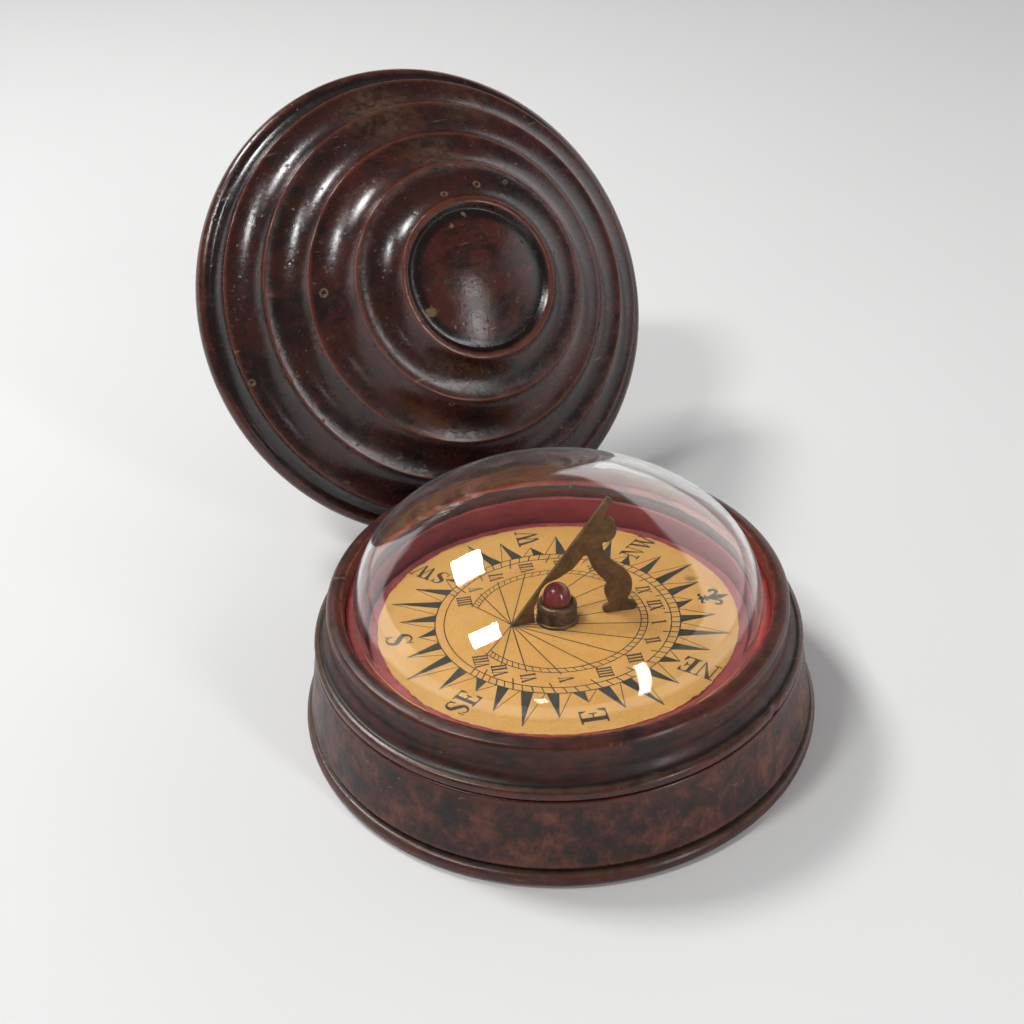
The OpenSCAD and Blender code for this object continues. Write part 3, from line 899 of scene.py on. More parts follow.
def write_mesh(name: str, points: np.ndarray, faces: list[Sequence[int]], frame: Frame) -> bpy.types.Object:
    """Makes a smooth-shaded object.

    Args:
        name: Name of the object and of its mesh.
        points: Its points, in millimetres on the frame.
        faces: The point numbers of each face.
        frame: Where the piece lies.

    Returns:
        The object, in the scene.
    """
    mesh = bpy.data.meshes.new(name)
    mesh.from_pydata(frame.metres(points), [], faces)
    mesh.update()
    mesh.shade_smooth()
    made = bpy.data.objects.new(name, mesh)
    bpy.context.scene.collection.objects.link(made)
    return made


def carry(made: bpy.types.Object, name: str, values: np.ndarray) -> None:
    """Writes one number per point into the mesh."""
    attribute = made.data.attributes.new(name, "FLOAT", "POINT")
    attribute.data.foreach_set("value", np.ascontiguousarray(values, dtype=np.float32))


@dataclass
class Turning:
    """A piece turned on the lathe: its profile carried round the Z axis of a frame."""

    name: str
    profile: np.ndarray
    closed: bool = True
    frame: Frame = UPRIGHT
    around: int = 256
    longest: float = 1.0
    wear_reach: float = 0.35
    # Reach of the groove measure, which sets how far the painted shade and dirt in hollows spread.
    grime_and_shade_reach: float = 0.35

    def grid(self) -> tuple[np.ndarray, np.ndarray]:
        """Lays out the turning's points.

        Returns:
            The radius and height of each point of the profile, and the angles of the turn.
        """
        line = np.vstack([self.profile, self.profile[:1]]) if self.closed else self.profile
        line = divided(line, self.longest)
        line = line[:-1] if self.closed else line
        return line, np.linspace(0, 2 * math.pi, self.around, endpoint=False)

    def swell(self, line: np.ndarray, angle: np.ndarray) -> np.ndarray:
        """Radial departure from the true turning, none by default."""
        return np.zeros((len(line), len(angle)))

    def build(self) -> bpy.types.Object:
        """Each point lies at its profile radius times the cosine and sine of its angle.

        A profile that ends on the axis closes there in one point.

        Returns:
            The object, with its wear and groove numbers.
        """
        line, angle = self.grid()
        radius = line[:, :1] + self.swell(line, angle)
        rows, columns = len(line), self.around
        height = np.repeat(line[:, 1:], columns, axis=1)
        points = np.stack([radius * np.cos(angle), radius * np.sin(angle), height], axis=2).reshape(-1, 3)
        index = np.arange(rows * columns).reshape(rows, columns)
        pole = line[:, 0] < 1e-9
        index[pole] = index[pole, :1]
        below = index if self.closed else index[:-1]
        above = np.roll(index, -1, axis=0) if self.closed else index[1:]
        quads = np.stack([below, np.roll(below, -1, 1), np.roll(above, -1, 1), above], axis=2).reshape(-1, 4)
        used, renumbered = np.unique(quads, return_inverse=True)
        quads = renumbered.reshape(-1, 4)
        low_pole, high_pole = quads[:, 0] == quads[:, 1], quads[:, 2] == quads[:, 3]
        faces = quads[~low_pole & ~high_pole].tolist()
        faces += quads[low_pole][:, [0, 2, 3]].tolist() + quads[high_pole][:, [0, 1, 2]].tolist()
        made = write_mesh(self.name, points[used], faces, self.frame)
        for side, (name, reach) in enumerate((("wear", self.wear_reach), ("groove", self.grime_and_shade_reach))):
            carry(made, name, np.repeat(edge_marks(line, self.closed, reach)[side], columns)[used])
        return made


def signed_area(outline: np.ndarray) -> float:
    """Area of a closed outline, positive where it runs anticlockwise."""
    x, y = outline.T
    return float(x @ np.roll(y, -1) - y @ np.roll(x, -1)) / 2


def triangulated(outlines: Sequence[np.ndarray]) -> tuple[np.ndarray, np.ndarray]:
    """Union of closed outlines, cut against each other into triangles.

    Args:
        outlines: The outlines, running either way round.

    Returns:
        The points, and the triangles within an outline, all of them anticlockwise.
    """
    turned = [outline if signed_area(outline) > 0 else outline[::-1] for outline in outlines]
    starts = np.cumsum([0] + [len(outline) for outline in turned]).tolist()
    loops = [list(range(first, last)) for first, last in zip(starts[:-1], starts[1:])]
    cut = delaunay_2d_cdt([Vector(corner) for corner in np.vstack(turned).tolist()], [], loops, 1, 1e-5)
    plane = np.array([tuple(point) for point in cut[0]])
    triangles = np.array([face for face, within in zip(cut[2], cut[5]) if within], dtype=int)
    a, b, c = (plane[triangles[:, k]] for k in range(3))
    area = (b[:, 0] - a[:, 0]) * (c[:, 1] - a[:, 1]) - (b[:, 1] - a[:, 1]) * (c[:, 0] - a[:, 0])
    triangles[area < 0] = triangles[area < 0][:, ::-1]
    return plane, triangles[np.abs(area) > 1e-9]


def sheet(name: str, outlines: Sequence[np.ndarray], low: float, high: float, frame: Frame) -> bpy.types.Object:
    """Flat plate whose shape is the union of closed outlines, with upright sides.

    The triangles make the top and the bottom, and every edge with a triangle on one side
    only gets a wall.

    Args:
        name: Name of the plate.
        outlines: The outlines, in millimetres on the frame.
        low: Height of the bottom.
        high: Height of the top.
        frame: Where the plate lies.

    Returns:
        The plate, flat-shaded.
    """
    plane, triangles = triangulated(outlines)
    count, size = len(plane), triangles.size
    sides = np.vstack([triangles[:, [0, 1]], triangles[:, [1, 2]], triangles[:, [2, 0]]])
    free = sides[~np.isin(sides[:, 0] * count + sides[:, 1], sides[:, 1] * count + sides[:, 0])]
    walls = np.stack([free[:, 1], free[:, 1] + count, free[:, 0] + count, free[:, 0]], axis=1)
    points = np.vstack([np.column_stack([plane, np.full(count, level)]) for level in (high, low)])
    corners = np.concatenate([triangles.ravel(), (triangles + count).ravel(), walls.ravel()])
    used, renumbered = np.unique(corners, return_inverse=True)
    tops = renumbered[:size].reshape(-1, 3)
    bottoms = renumbered[size : 2 * size].reshape(-1, 3)[:, ::-1]
    quads = renumbered[2 * size :].reshape(-1, 4)
    made = write_mesh(name, points[used], tops.tolist() + bottoms.tolist() + quads.tolist(), frame)
    made.data.shade_flat()
    return made


def ribbon(path: np.ndarray, width: np.ndarray | float) -> np.ndarray:
    """Outline of a stroke: the path shifted to both sides by half its width.

    Args:
        path: The middle of the stroke.
        width: Its width, the same all along or one number per point.

    Returns:
        The closed outline.
    """
    way = np.gradient(path, axis=0)
    way /= np.hypot(*way.T)[:, None]
    side = np.stack([-way[:, 1], way[:, 0]], axis=1) * (np.broadcast_to(width, len(path)) / 2)[:, None]
    return np.vstack([path + side, (path - side)[::-1]])


def box(left: float, low: float, right: float, high: float) -> np.ndarray:
    """Outline of an upright rectangle."""
    return np.array([(left, low), (right, low), (right, high), (left, high)])


def polar(radius: float | np.ndarray, degrees: float | np.ndarray) -> np.ndarray:
    """Point at a radius and an angle."""
    angle = np.radians(degrees)
    return np.stack([radius * np.cos(angle), radius * np.sin(angle)], axis=-1)


def smooth_line(corners: Sequence[tuple[float, float]] | np.ndarray, count: int) -> np.ndarray:
    """Curve through points: each stretch is a cubic on its four nearest points.

    At share t of a stretch the point is half the sum of 2b, t(c - a),
    t squared (2a - 5b + 4c - d) and t cubed (3b - a - 3c + d).

    Args:
        corners: The points that the curve goes through.
        count: How many points it gets.

    Returns:
        The points of the curve.
    """
    points = np.array(corners)
    ring = np.vstack([points[:1], points, points[-1:]])
    total = len(points) - 1
    place = np.linspace(0, total, count)
    stretch = np.minimum(place.astype(int), total - 1)
    t = (place - stretch)[:, None]
    a, b, c, d = (ring[stretch + k] for k in range(4))
    return 0.5 * (2 * b + t * (c - a) + t**2 * (2 * a - 5 * b + 4 * c - d) + t**3 * (3 * b - a - 3 * c + d))


def lean(left: float, right: float, foot_right: float, foot_left: float) -> np.ndarray:
    """Outline of a slanting stroke between the top line and the foot line."""
    return np.array([(left, 1), (right, 1), (foot_right, 0), (foot_left, 0)])


def spine() -> np.ndarray:
    """Heavy slanting spine of the letter S, with a bowl at each end.

    The path is an upper arc, a slanting middle and a lower arc, and its width is
    greatest at the middle.

    Returns:
        The closed outline.
    """
    upper = arc((0.37, 0.735), 0.235, 28, 205, 14)
    lower = arc((0.39, 0.255), 0.235, 385, 208, 14)
    share = np.linspace(0, 1, 60)
    return ribbon(smooth_line(np.vstack([upper, lower]), 60), 0.055 + 0.16 * np.exp(-(((share - 0.5) / 0.2) ** 2)))


@dataclass(frozen=True)
class Letter:
    """An engraver's roman capital, one unit tall: its width, its strokes and its serifs.

    A serif is given by its left, its right and 0 at the foot or 1 at the top.
    """

    width: float
    strokes: Sequence[np.ndarray]
    serifs: Sequence[Triple] = ()
    serif_h: float = 0.075

    def outlines(self) -> list[np.ndarray]:
        """Outlines of the strokes and of the thin flat serifs."""
        spots = [(left, place * (1 - self.serif_h), right) for left, right, place in self.serifs]
        return [*self.strokes, *(box(left, low, right, low + self.serif_h) for left, low, right in spots)]


ALPHABET = {
    "I": Letter(0.5, [box(0.1, 0, 0.4, 1)], [(0.0, 0.5, 0), (0.0, 0.5, 1)]),
    "V": Letter(0.96, [lean(0.05, 0.35, 0.6, 0.42), lean(0.76, 0.86, 0.6, 0.5)], [(-0.02, 0.42, 1), (0.64, 0.98, 1)]),
    "X": Letter(
        0.95, [lean(0.04, 0.34, 0.9, 0.6), lean(0.76, 0.86, 0.18, 0.08)],
        [(0.0, 0.4, 1), (0.64, 0.98, 1), (-0.02, 0.32, 0), (0.54, 0.97, 0)],
    ),
    "N": Letter(
        0.98, [box(0.15, 0, 0.22, 1), box(0.79, 0, 0.86, 1), lean(0.1, 0.34, 0.86, 0.78)],
        [(0.0, 0.32, 1), (0.68, 0.98, 1), (0.02, 0.36, 0)],
    ),
    "W": Letter(
        1.36,
        [
            lean(0.07, 0.29, 0.52, 0.4), lean(0.72, 0.79, 0.52, 0.45),
            lean(0.55, 0.77, 1.0, 0.88), lean(1.2, 1.27, 1.0, 0.93),
        ],
        [(-0.03, 0.4, 1), (0.44, 0.86, 1), (1.1, 1.38, 1)],
    ),
    "E": Letter(
        0.84,
        [
            box(0.12, 0, 0.34, 1), box(0, 0, 0.8, 0.06), box(0, 0.94, 0.76, 1), box(0.3, 0.48, 0.6, 0.54),
            np.array([(0.8, 0), (0.8, 0.3), (0.75, 0.3), (0.62, 0.05), (0.62, 0)]),
            np.array([(0.76, 1), (0.76, 0.73), (0.71, 0.73), (0.6, 0.95), (0.6, 1)]),
            np.array([(0.6, 0.35), (0.6, 0.67), (0.55, 0.67), (0.5, 0.51), (0.55, 0.35)]),
        ],
        [(0.0, 0.4, 0), (0.0, 0.4, 1)],
    ),
    "S": Letter(0.72, [
        spine(), np.array([(0.55, 0.72), (0.62, 0.72), (0.62, 1.0), (0.575, 1.0)]),
        np.array([(0.14, 0.28), (0.08, 0.28), (0.07, 0.0), (0.12, 0.0)]),
    ]),
}


def stroke(corners: Sequence[tuple[float, float]], count: int, thin: float, swell: float, end: float) -> np.ndarray:
    """Pen stroke along a smooth curve, whose width swells and falls as a sine.

    Args:
        corners: The points that the stroke goes through.
        count: How many points its middle gets.
        thin: Width where the sine is nought.
        swell: What the sine adds at its highest.
        end: Angle at which the sine stops, in radians; it starts at 0.2.

    Returns:
        The closed outline.
    """
    return ribbon(smooth_line(corners, count), thin + swell * np.sin(np.linspace(0.2, end, count)))


@dataclass
class Dial:
    """The printed face: compass star, hour rings, hour lines, numerals and letters."""

    latitude: float = 51.5
    hour_origin: float = 6.7
    last_hour: int = 8
    outer_ring: tuple[float, float] = (16.34, 17.62)
    inner_ring: tuple[float, float] = (12.0, 12.94)
    half_hour_mark: float = 1.0
    hour_line_r: float = 13.35
    numeral_r: float = 14.55
    numeral_h: float = 2.15
    main_point_r: float = 20.1
    between_point_r: float = 24.85
    small_point_r: float = 22.8
    point_half_angle: float = 5.5
    letter_r: float = 23.0
    lily_r: float = 20.9
    lily_scale: float = 1.08
    letter_gap: float = 0.06
    fine: float = 0.17

    def outlines(self) -> list[np.ndarray]:
        """Every inked outline, in millimetres on the card."""
        return [*self.star(), *self.rings(), *self.hour_lines(), *self.numerals(), *self.points()]

    def hour_angle(self, hour: float) -> float:
        """Degrees from noon; the tangent is the latitude's sine times that of 15 degrees an hour."""
        turn = math.radians(15.0 * hour)
        return math.degrees(math.atan2(math.sin(math.radians(self.latitude)) * math.sin(turn), math.cos(turn)))

    def on_ring(self, hour: float, radius: float) -> np.ndarray:
        """Where an hour's line from the origin meets a ring about the card's middle.

        Args:
            hour: Hours after noon.
            radius: Radius of the ring.

        Returns:
            The point.
        """
        start = polar(-self.hour_origin, CARD_NORTH)
        way = polar(1.0, CARD_NORTH - self.hour_angle(hour))
        along = way @ start
        return start + (math.sqrt(along**2 + radius**2 - start @ start) - along) * way

    def hour_stroke(self, hour: float, low: float, high: float, width: float) -> np.ndarray:
        """Stroke along an hour's line between two rings."""
        return ribbon(np.array([self.on_ring(hour, low), self.on_ring(hour, high)]), width)

    def star(self) -> list[np.ndarray]:
        """Thirty-two points: one half of each is black and the other is outlined.

        The points stand on the outer ring; their lengths follow whether they are
        main points, points between them or the points under the letters.

        Returns:
            The outlines.
        """
        inked: list[np.ndarray] = []
        base, half = self.outer_ring[1], self.point_half_angle
        reaches = (self.main_point_r, self.small_point_r, self.between_point_r, self.small_point_r)
        for number in range(32):
            middle = CARD_NORTH + 360 / 32 * number
            tip, foot = polar(reaches[number % 4], middle), polar(base, middle)
            left, right = polar(base, middle + half), polar(base, middle - half)
            inked.append(np.array([tip, foot, right]))
            inked += [ribbon(np.array([tip, (tip + end) / 2, end]), self.fine * 0.7) for end in (left, foot)]
        return inked

    def band(self, radius: float, start: float, end: float, width: float) -> np.ndarray:
        """Thin arc about the card's middle, between two angles in degrees."""
        return ribbon(arc((0.0, 0.0), radius, start, end, max(8, int(abs(end - start) / 2))), width)

    def rings(self) -> list[np.ndarray]:
        """Two hour rings with their divisions.

        The outer ring goes all round, in two overlapping halves, and the inner one from
        the first hour's line to the last.

        Returns:
            The outlines.
        """
        halves = (0.0, 180.0)
        inked = [self.band(radius, turn, turn + 180.5, self.fine) for radius in self.outer_ring for turn in halves]
        points = [self.on_ring(hour, self.inner_ring[0]) for hour in (self.last_hour, -self.last_hour)]
        first, last = (math.degrees(math.atan2(point[1], point[0])) for point in points)
        inked += [self.band(radius, first, first + (last - first) % 360, self.fine * 0.9) for radius in self.inner_ring]
        for quarter in range(-4 * self.last_hour, 4 * self.last_hour + 1):
            low = self.outer_ring[0] - (self.half_hour_mark if quarter % 4 == 2 else 0.0)
            width = self.fine * (0.9 if quarter % 2 else 1.1)
            inked.append(self.hour_stroke(quarter / 4, low, self.outer_ring[1], width))
            inked.append(self.hour_stroke(quarter / 4, *self.inner_ring, self.fine * 0.75))
        return inked

    def hour_lines(self) -> list[np.ndarray]:
        """Lines from the origin to the numerals, and a small ring round the origin.

        Returns:
            The outlines.
        """
        start = polar(-self.hour_origin, CARD_NORTH)
        ends = [self.on_ring(hour, self.hour_line_r) for hour in range(-self.last_hour, self.last_hour + 1)]
        return [self.band(0.35, 0, 359.9, 0.1) + start, *(ribbon(np.array([start, end]), self.fine) for end in ends)]

    def word(self, text: str, at: np.ndarray, reads: float, height: float, squeeze: float) -> list[np.ndarray]:
        """Word centred on a point.

        Args:
            text: Its letters.
            at: The point.
            reads: Angle along which it reads, in degrees.
            height: Height of its letters.
            squeeze: How much narrower than their drawing the letters are.

        Returns:
            The outlines.
        """
        letters = [ALPHABET[letter] for letter in text]
        right, up = polar(1.0, reads), polar(1.0, reads + 90)
        inked: list[np.ndarray] = []
        pen = -(sum(letter.width for letter in letters) + self.letter_gap * (len(letters) - 1)) / 2
        for letter in letters:
            for outline in letter.outlines():
                local = (outline + (pen, -0.5)) * height * np.array([squeeze, 1.0])
                inked.append(at + local[:, :1] * right + local[:, 1:] * up)
            pen += letter.width + self.letter_gap
        return inked

    def numerals(self) -> list[np.ndarray]:
        """Hours from four in the morning to eight in the evening, all one way up.

        Returns:
            The outlines.
        """
        names = "IIII V VI VII VIII IX X XI XII I II III IIII V VI VII VIII".split()
        inked: list[np.ndarray] = []
        for number, name in enumerate(names):
            at, squeeze = self.on_ring(number - self.last_hour, self.numeral_r), 0.5 if len(name) > 3 else 0.58
            inked += self.word(name, at, CARD_NORTH + 90, self.numeral_h, squeeze)
        return inked

    def points(self) -> list[np.ndarray]:
        """Letters of seven compass points and a lily for the north.

        Returns:
            The outlines.
        """
        inked: list[np.ndarray] = []
        words = (
            ("NE", -36.0, 144.0, 3.4), ("E", -81.0, 99.0, 3.7), ("SE", -126.0, 54.0, 3.4), ("S", -171.0, 99.0, 3.9),
            ("SW", 144.0, 143.0, 3.2), ("W", 99.0, 99.0, 3.4), ("NW", 54.0, 54.0, 3.2),
        )
        for text, at, reads, height in words:
            inked += self.word(text, polar(self.letter_r, at), reads, height, 0.86 if len(text) > 1 else 0.95)
        return inked + self.lily(polar(self.lily_r, CARD_NORTH), CARD_NORTH)

    def lily(self, at: np.ndarray, heading: float) -> list[np.ndarray]:
        """Lily with an upright middle petal, two curled ones, two feet and a tie.

        Args:
            at: Where its foot stands.
            heading: Angle along which it grows, in degrees.

        Returns:
            The outlines.
        """
        swell = np.sin(np.linspace(0, math.pi, 24))
        uprights = ((1.1, 4.4, 0.06, 0.95), (1.15, -0.1, 0.05, 0.5))
        parts = [
            ribbon(np.stack([np.zeros(24), np.linspace(low, high, 24)], axis=1), thin + wide * swell)
            for low, high, thin, wide in uprights
        ]
        petal = ((0.1, 1.0), (0.45, 2.1), (1.1, 2.95), (1.75, 2.75), (1.7, 2.15), (1.35, 2.1))
        foot = ((0.1, 1.1), (0.4, 0.55), (0.95, 0.35), (1.15, 0.75))
        for side in (-1.0, 1.0):
            mirrored = [tuple((side * x, y) for x, y in curve) for curve in (petal, foot)]
            parts.append(stroke(mirrored[0], 30, 0.08, 0.42, math.pi - 0.5))
            parts.append(stroke(mirrored[1], 20, 0.07, 0.28, math.pi - 0.4))
        parts.append(box(-0.75, 1.0, 0.75, 1.28))
        right, up = polar(1.0, heading - 90), polar(1.0, heading)
        return [at + self.lily_scale * (outline[:, :1] * right + outline[:, 1:] * up) for outline in parts]


def assign(made: bpy.types.Object, finish: Finish) -> None:
    """Gives an object one material."""
    made.data.materials.clear()
    made.data.materials.append(finish.material())


def seat(made: bpy.types.Object, body: Body, node: str, finish: Finish, hide: bool = True) -> None:
    """Dresses a piece and seats it on a body.

    Args:
        made: The piece.
        body: The body that it rides on.
        node: The node whose solid it hides.
        finish: Its finish.
        hide: Whether it also stands in place of the node's solid.
    """
    assign(made, finish)
    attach(made, body.value)
    if hide:
        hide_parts(node)
    LOG.info("%s on %s: %d faces", made.name, body.value, len(made.data.polygons))


class CaseTurning(Turning):
    """The case's turning, with a chip out of its shoulder bead."""

    NOTCH_ANGLE, NOTCH_HALF_ANGLE, NOTCH_DEPTH = math.radians(-36.6), 0.016, 0.5
    NOTCH_Z, NOTCH_HALF_HEIGHT, NOTCH_FROM_R = 14.3, 0.75, 33.4

    def swell(self, line: np.ndarray, angle: np.ndarray) -> np.ndarray:
        """Slow waves of a few hundredths, and a notch in the shoulder bead.

        The notch is a flat-topped bell round its angle and round the bead's height.

        Args:
            line: Radius and height of the profile's points.
            angle: Angles of the turn.

        Returns:
            What each point's radius grows by.
        """
        radius, height = line[:, :1], line[:, 1:]
        outside = (radius > 30.5) * np.clip((height - 2.5) / 2, 0, 1)
        waves = 0.02 * np.sin(3 * angle + 1.0) + 0.015 * np.sin(7 * angle + height * 0.5)
        away = (angle - self.NOTCH_ANGLE + math.pi) % (2 * math.pi) - math.pi
        notch = self.NOTCH_DEPTH * np.exp(-((away / self.NOTCH_HALF_ANGLE) ** 4))
        notch = notch * np.exp(-(((height - self.NOTCH_Z) / self.NOTCH_HALF_HEIGHT) ** 4))
        return -outside * (0.035 + waves) - notch * (radius > self.NOTCH_FROM_R)


@dataclass
class Case:
    """Turned case with its lining, glass, bedding and pivot."""

    foot_r: float = 37.5
    floor_z: float = 4.0
    bowl_r: float = 28.75
    neck_low: tuple[float, float] = (34.0, 14.98)
    neck_high: tuple[float, float] = (32.78, 17.0)
    neck_depth: float = 0.38
    rim_bore_r: float = 30.2
    lining_bore_r: float = 28.25
    lining_top_z: float = 16.3
    glass_seat_z: float = 17.6
    glass_foot_r: float = 28.95
    glass_foot_chamfer: tuple[float, float] = (0.15, 0.2)
    glass_upright_z: float = 19.64
    glass_turn_r: float = 10.0
    glass_crown_r: float = 40.3
    glass_wall: float = 0.6

    def profile(self) -> np.ndarray:
        """Foot, flared band, shoulder, neck and rim, then down the bore and the bowl.

        Returns:
            The profile from the foot's middle round the outside to the floor's middle.
        """
        foot = rounded([
            (0, 0, 0), (self.foot_r, 0, 1.09), (self.foot_r, 2.2, 1.0), (35.95, 2.25, 0.12), (35.9, 2.75, 0.12),
            (36.7, 2.8, 0.45), (35.0, 13.25, 0.3), (34.45, 13.3, 0.1), (34.45, 13.45, 0.08), (34.95, 13.48, 0.55),
            (35.03, 14.8, 0.5), (34.3, 15.05, 0.25), (*self.neck_low, 0.0),
        ])
        neck = cove(self.neck_low, self.neck_high, self.neck_depth, 12)
        rim = rounded([
            (*self.neck_high, 0.0), (32.72, 18.4, 2.0), (32.84, 20.45, 0.85), (31.4, 20.75, 1.0), (30.6, 20.6, 0.3),
            (self.rim_bore_r, 19.0, 0.25), (self.rim_bore_r, self.glass_seat_z, 0.0),
            (self.bowl_r, self.glass_seat_z, 0.15), (self.bowl_r, self.floor_z, 0.3), (0, self.floor_z, 0),
        ])
        return np.vstack([foot, neck, rim])

    def lining_profile(self) -> np.ndarray:
        """Profile of the painted ring that lines the bowl."""
        inner, outer, low, high = self.lining_bore_r, self.bowl_r, self.floor_z, self.lining_top_z
        return rounded([(inner, low, 0.05), (outer, low, 0.05), (outer, high, 0.1), (inner, high, 0.2)], closed=True)

    def bedding_profile(self) -> np.ndarray:
        """Ring of bedding between the glass and the rim.

        Returns:
            Its profile.
        """
        inner, outer, low = self.glass_foot_r, self.rim_bore_r, self.glass_seat_z
        top = [(outer, 18.7, 0.15), (29.6, 18.75, 0.3), (inner, 18.4, 0.05)]
        return rounded([(inner, low, 0), (outer, low, 0), *top], closed=True)

    def glass_profile(self) -> np.ndarray:
        """Profile of the glass: an upright foot, a rounded turn and a flat crown.

        The turn and the crown are arcs that touch: the crown's centre lies below the
        turn's by the leg of the right triangle on the radii's difference.

        Returns:
            The profile from the inside's top round the foot to the outside's top.
        """
        turn_at = (self.glass_foot_r - self.glass_turn_r, self.glass_upright_z)
        drop = math.sqrt((self.glass_crown_r - self.glass_turn_r) ** 2 - turn_at[0] ** 2)
        join = math.degrees(math.atan2(drop, turn_at[0]))
        inside, outside = (
            np.vstack([
                arc(turn_at, self.glass_turn_r - inset, 0, join, 24),
                crown(self.glass_upright_z - drop, self.glass_crown_r - inset, join, 32)[1:],
            ])
            for inset in (self.glass_wall, 0.0)
        )
        inner_r, (across, up) = self.glass_foot_r - self.glass_wall, self.glass_foot_chamfer
        foot = [(inner_r, self.glass_seat_z + up), (inner_r + across, self.glass_seat_z)]
        foot += [(self.glass_foot_r - across, self.glass_seat_z), (self.glass_foot_r, self.glass_seat_z + up)]
        return np.vstack([inside[::-1], foot, outside])

    def build(self) -> None:
        """Makes and dresses the case's pieces."""
        wood = CaseFruitwood("case_fruitwood", rub=0.22, gloss=0.32, shine=0.36)
        body = CaseTurning("case_turning", self.profile(), closed=False, around=384, longest=0.9)
        seat(body.build(), Body.CASE, "case_body", wood)
        lining = Turning("painted_lining", self.lining_profile(), longest=2.0)
        seat(lining.build(), Body.CASE, "bowl_lining", RedPaint("crimson_paint"))
        glass = Turning("domed_glass", self.glass_profile(), closed=False, longest=1.6)
        seat(glass.build(), Body.CASE, "glass_dome", ClearGlass("clear_glass"))
        bed_paint = RedPaint(
            "bedding_paint", colour=(0.26, 0.021, 0.016), dark=(0.13, 0.012, 0.009), pale=(0.34, 0.045, 0.028),
            roughness=0.4, bare_within=29.1, worn_through=0.5,
        )
        bedding = Turning("glass_bed", self.bedding_profile(), around=192, longest=0.5)
        seat(bedding.build(), Body.CASE, "glass_bedding", bed_paint)

    def dress_pivot(self, nodes: dict[str, bpy.types.Object]) -> None:
        """Gives the pivot's own solids their metals.

        Args:
            nodes: The solids by node.
        """
        assign(nodes["pivot_foot"], OldBrass("pivot_brass", bare=(0.5, 0.33, 0.13), crusted=0.1))
        assign(nodes["pivot_screws"], OldBrass("screw_brass", bare=(0.55, 0.38, 0.16), crusted=0.05, shine=0.3))
        assign(nodes["pivot_pin"], OldSteel("pin_steel"))


class CutPaper(Turning):
    """A sheet cut out by hand, whose rim is not quite even."""

    RIM_FROM_R = 25.9

    def swell(self, line: np.ndarray, angle: np.ndarray) -> np.ndarray:
        """Nicks of a few hundredths at the rim, from three sines of the angle."""
        nicks = np.sin(23 * angle) + np.sin(61 * angle + 1.0) + np.sin(107 * angle + 2.0)
        return (line[:, :1] > self.RIM_FROM_R) * (0.045 * nicks - 0.14)


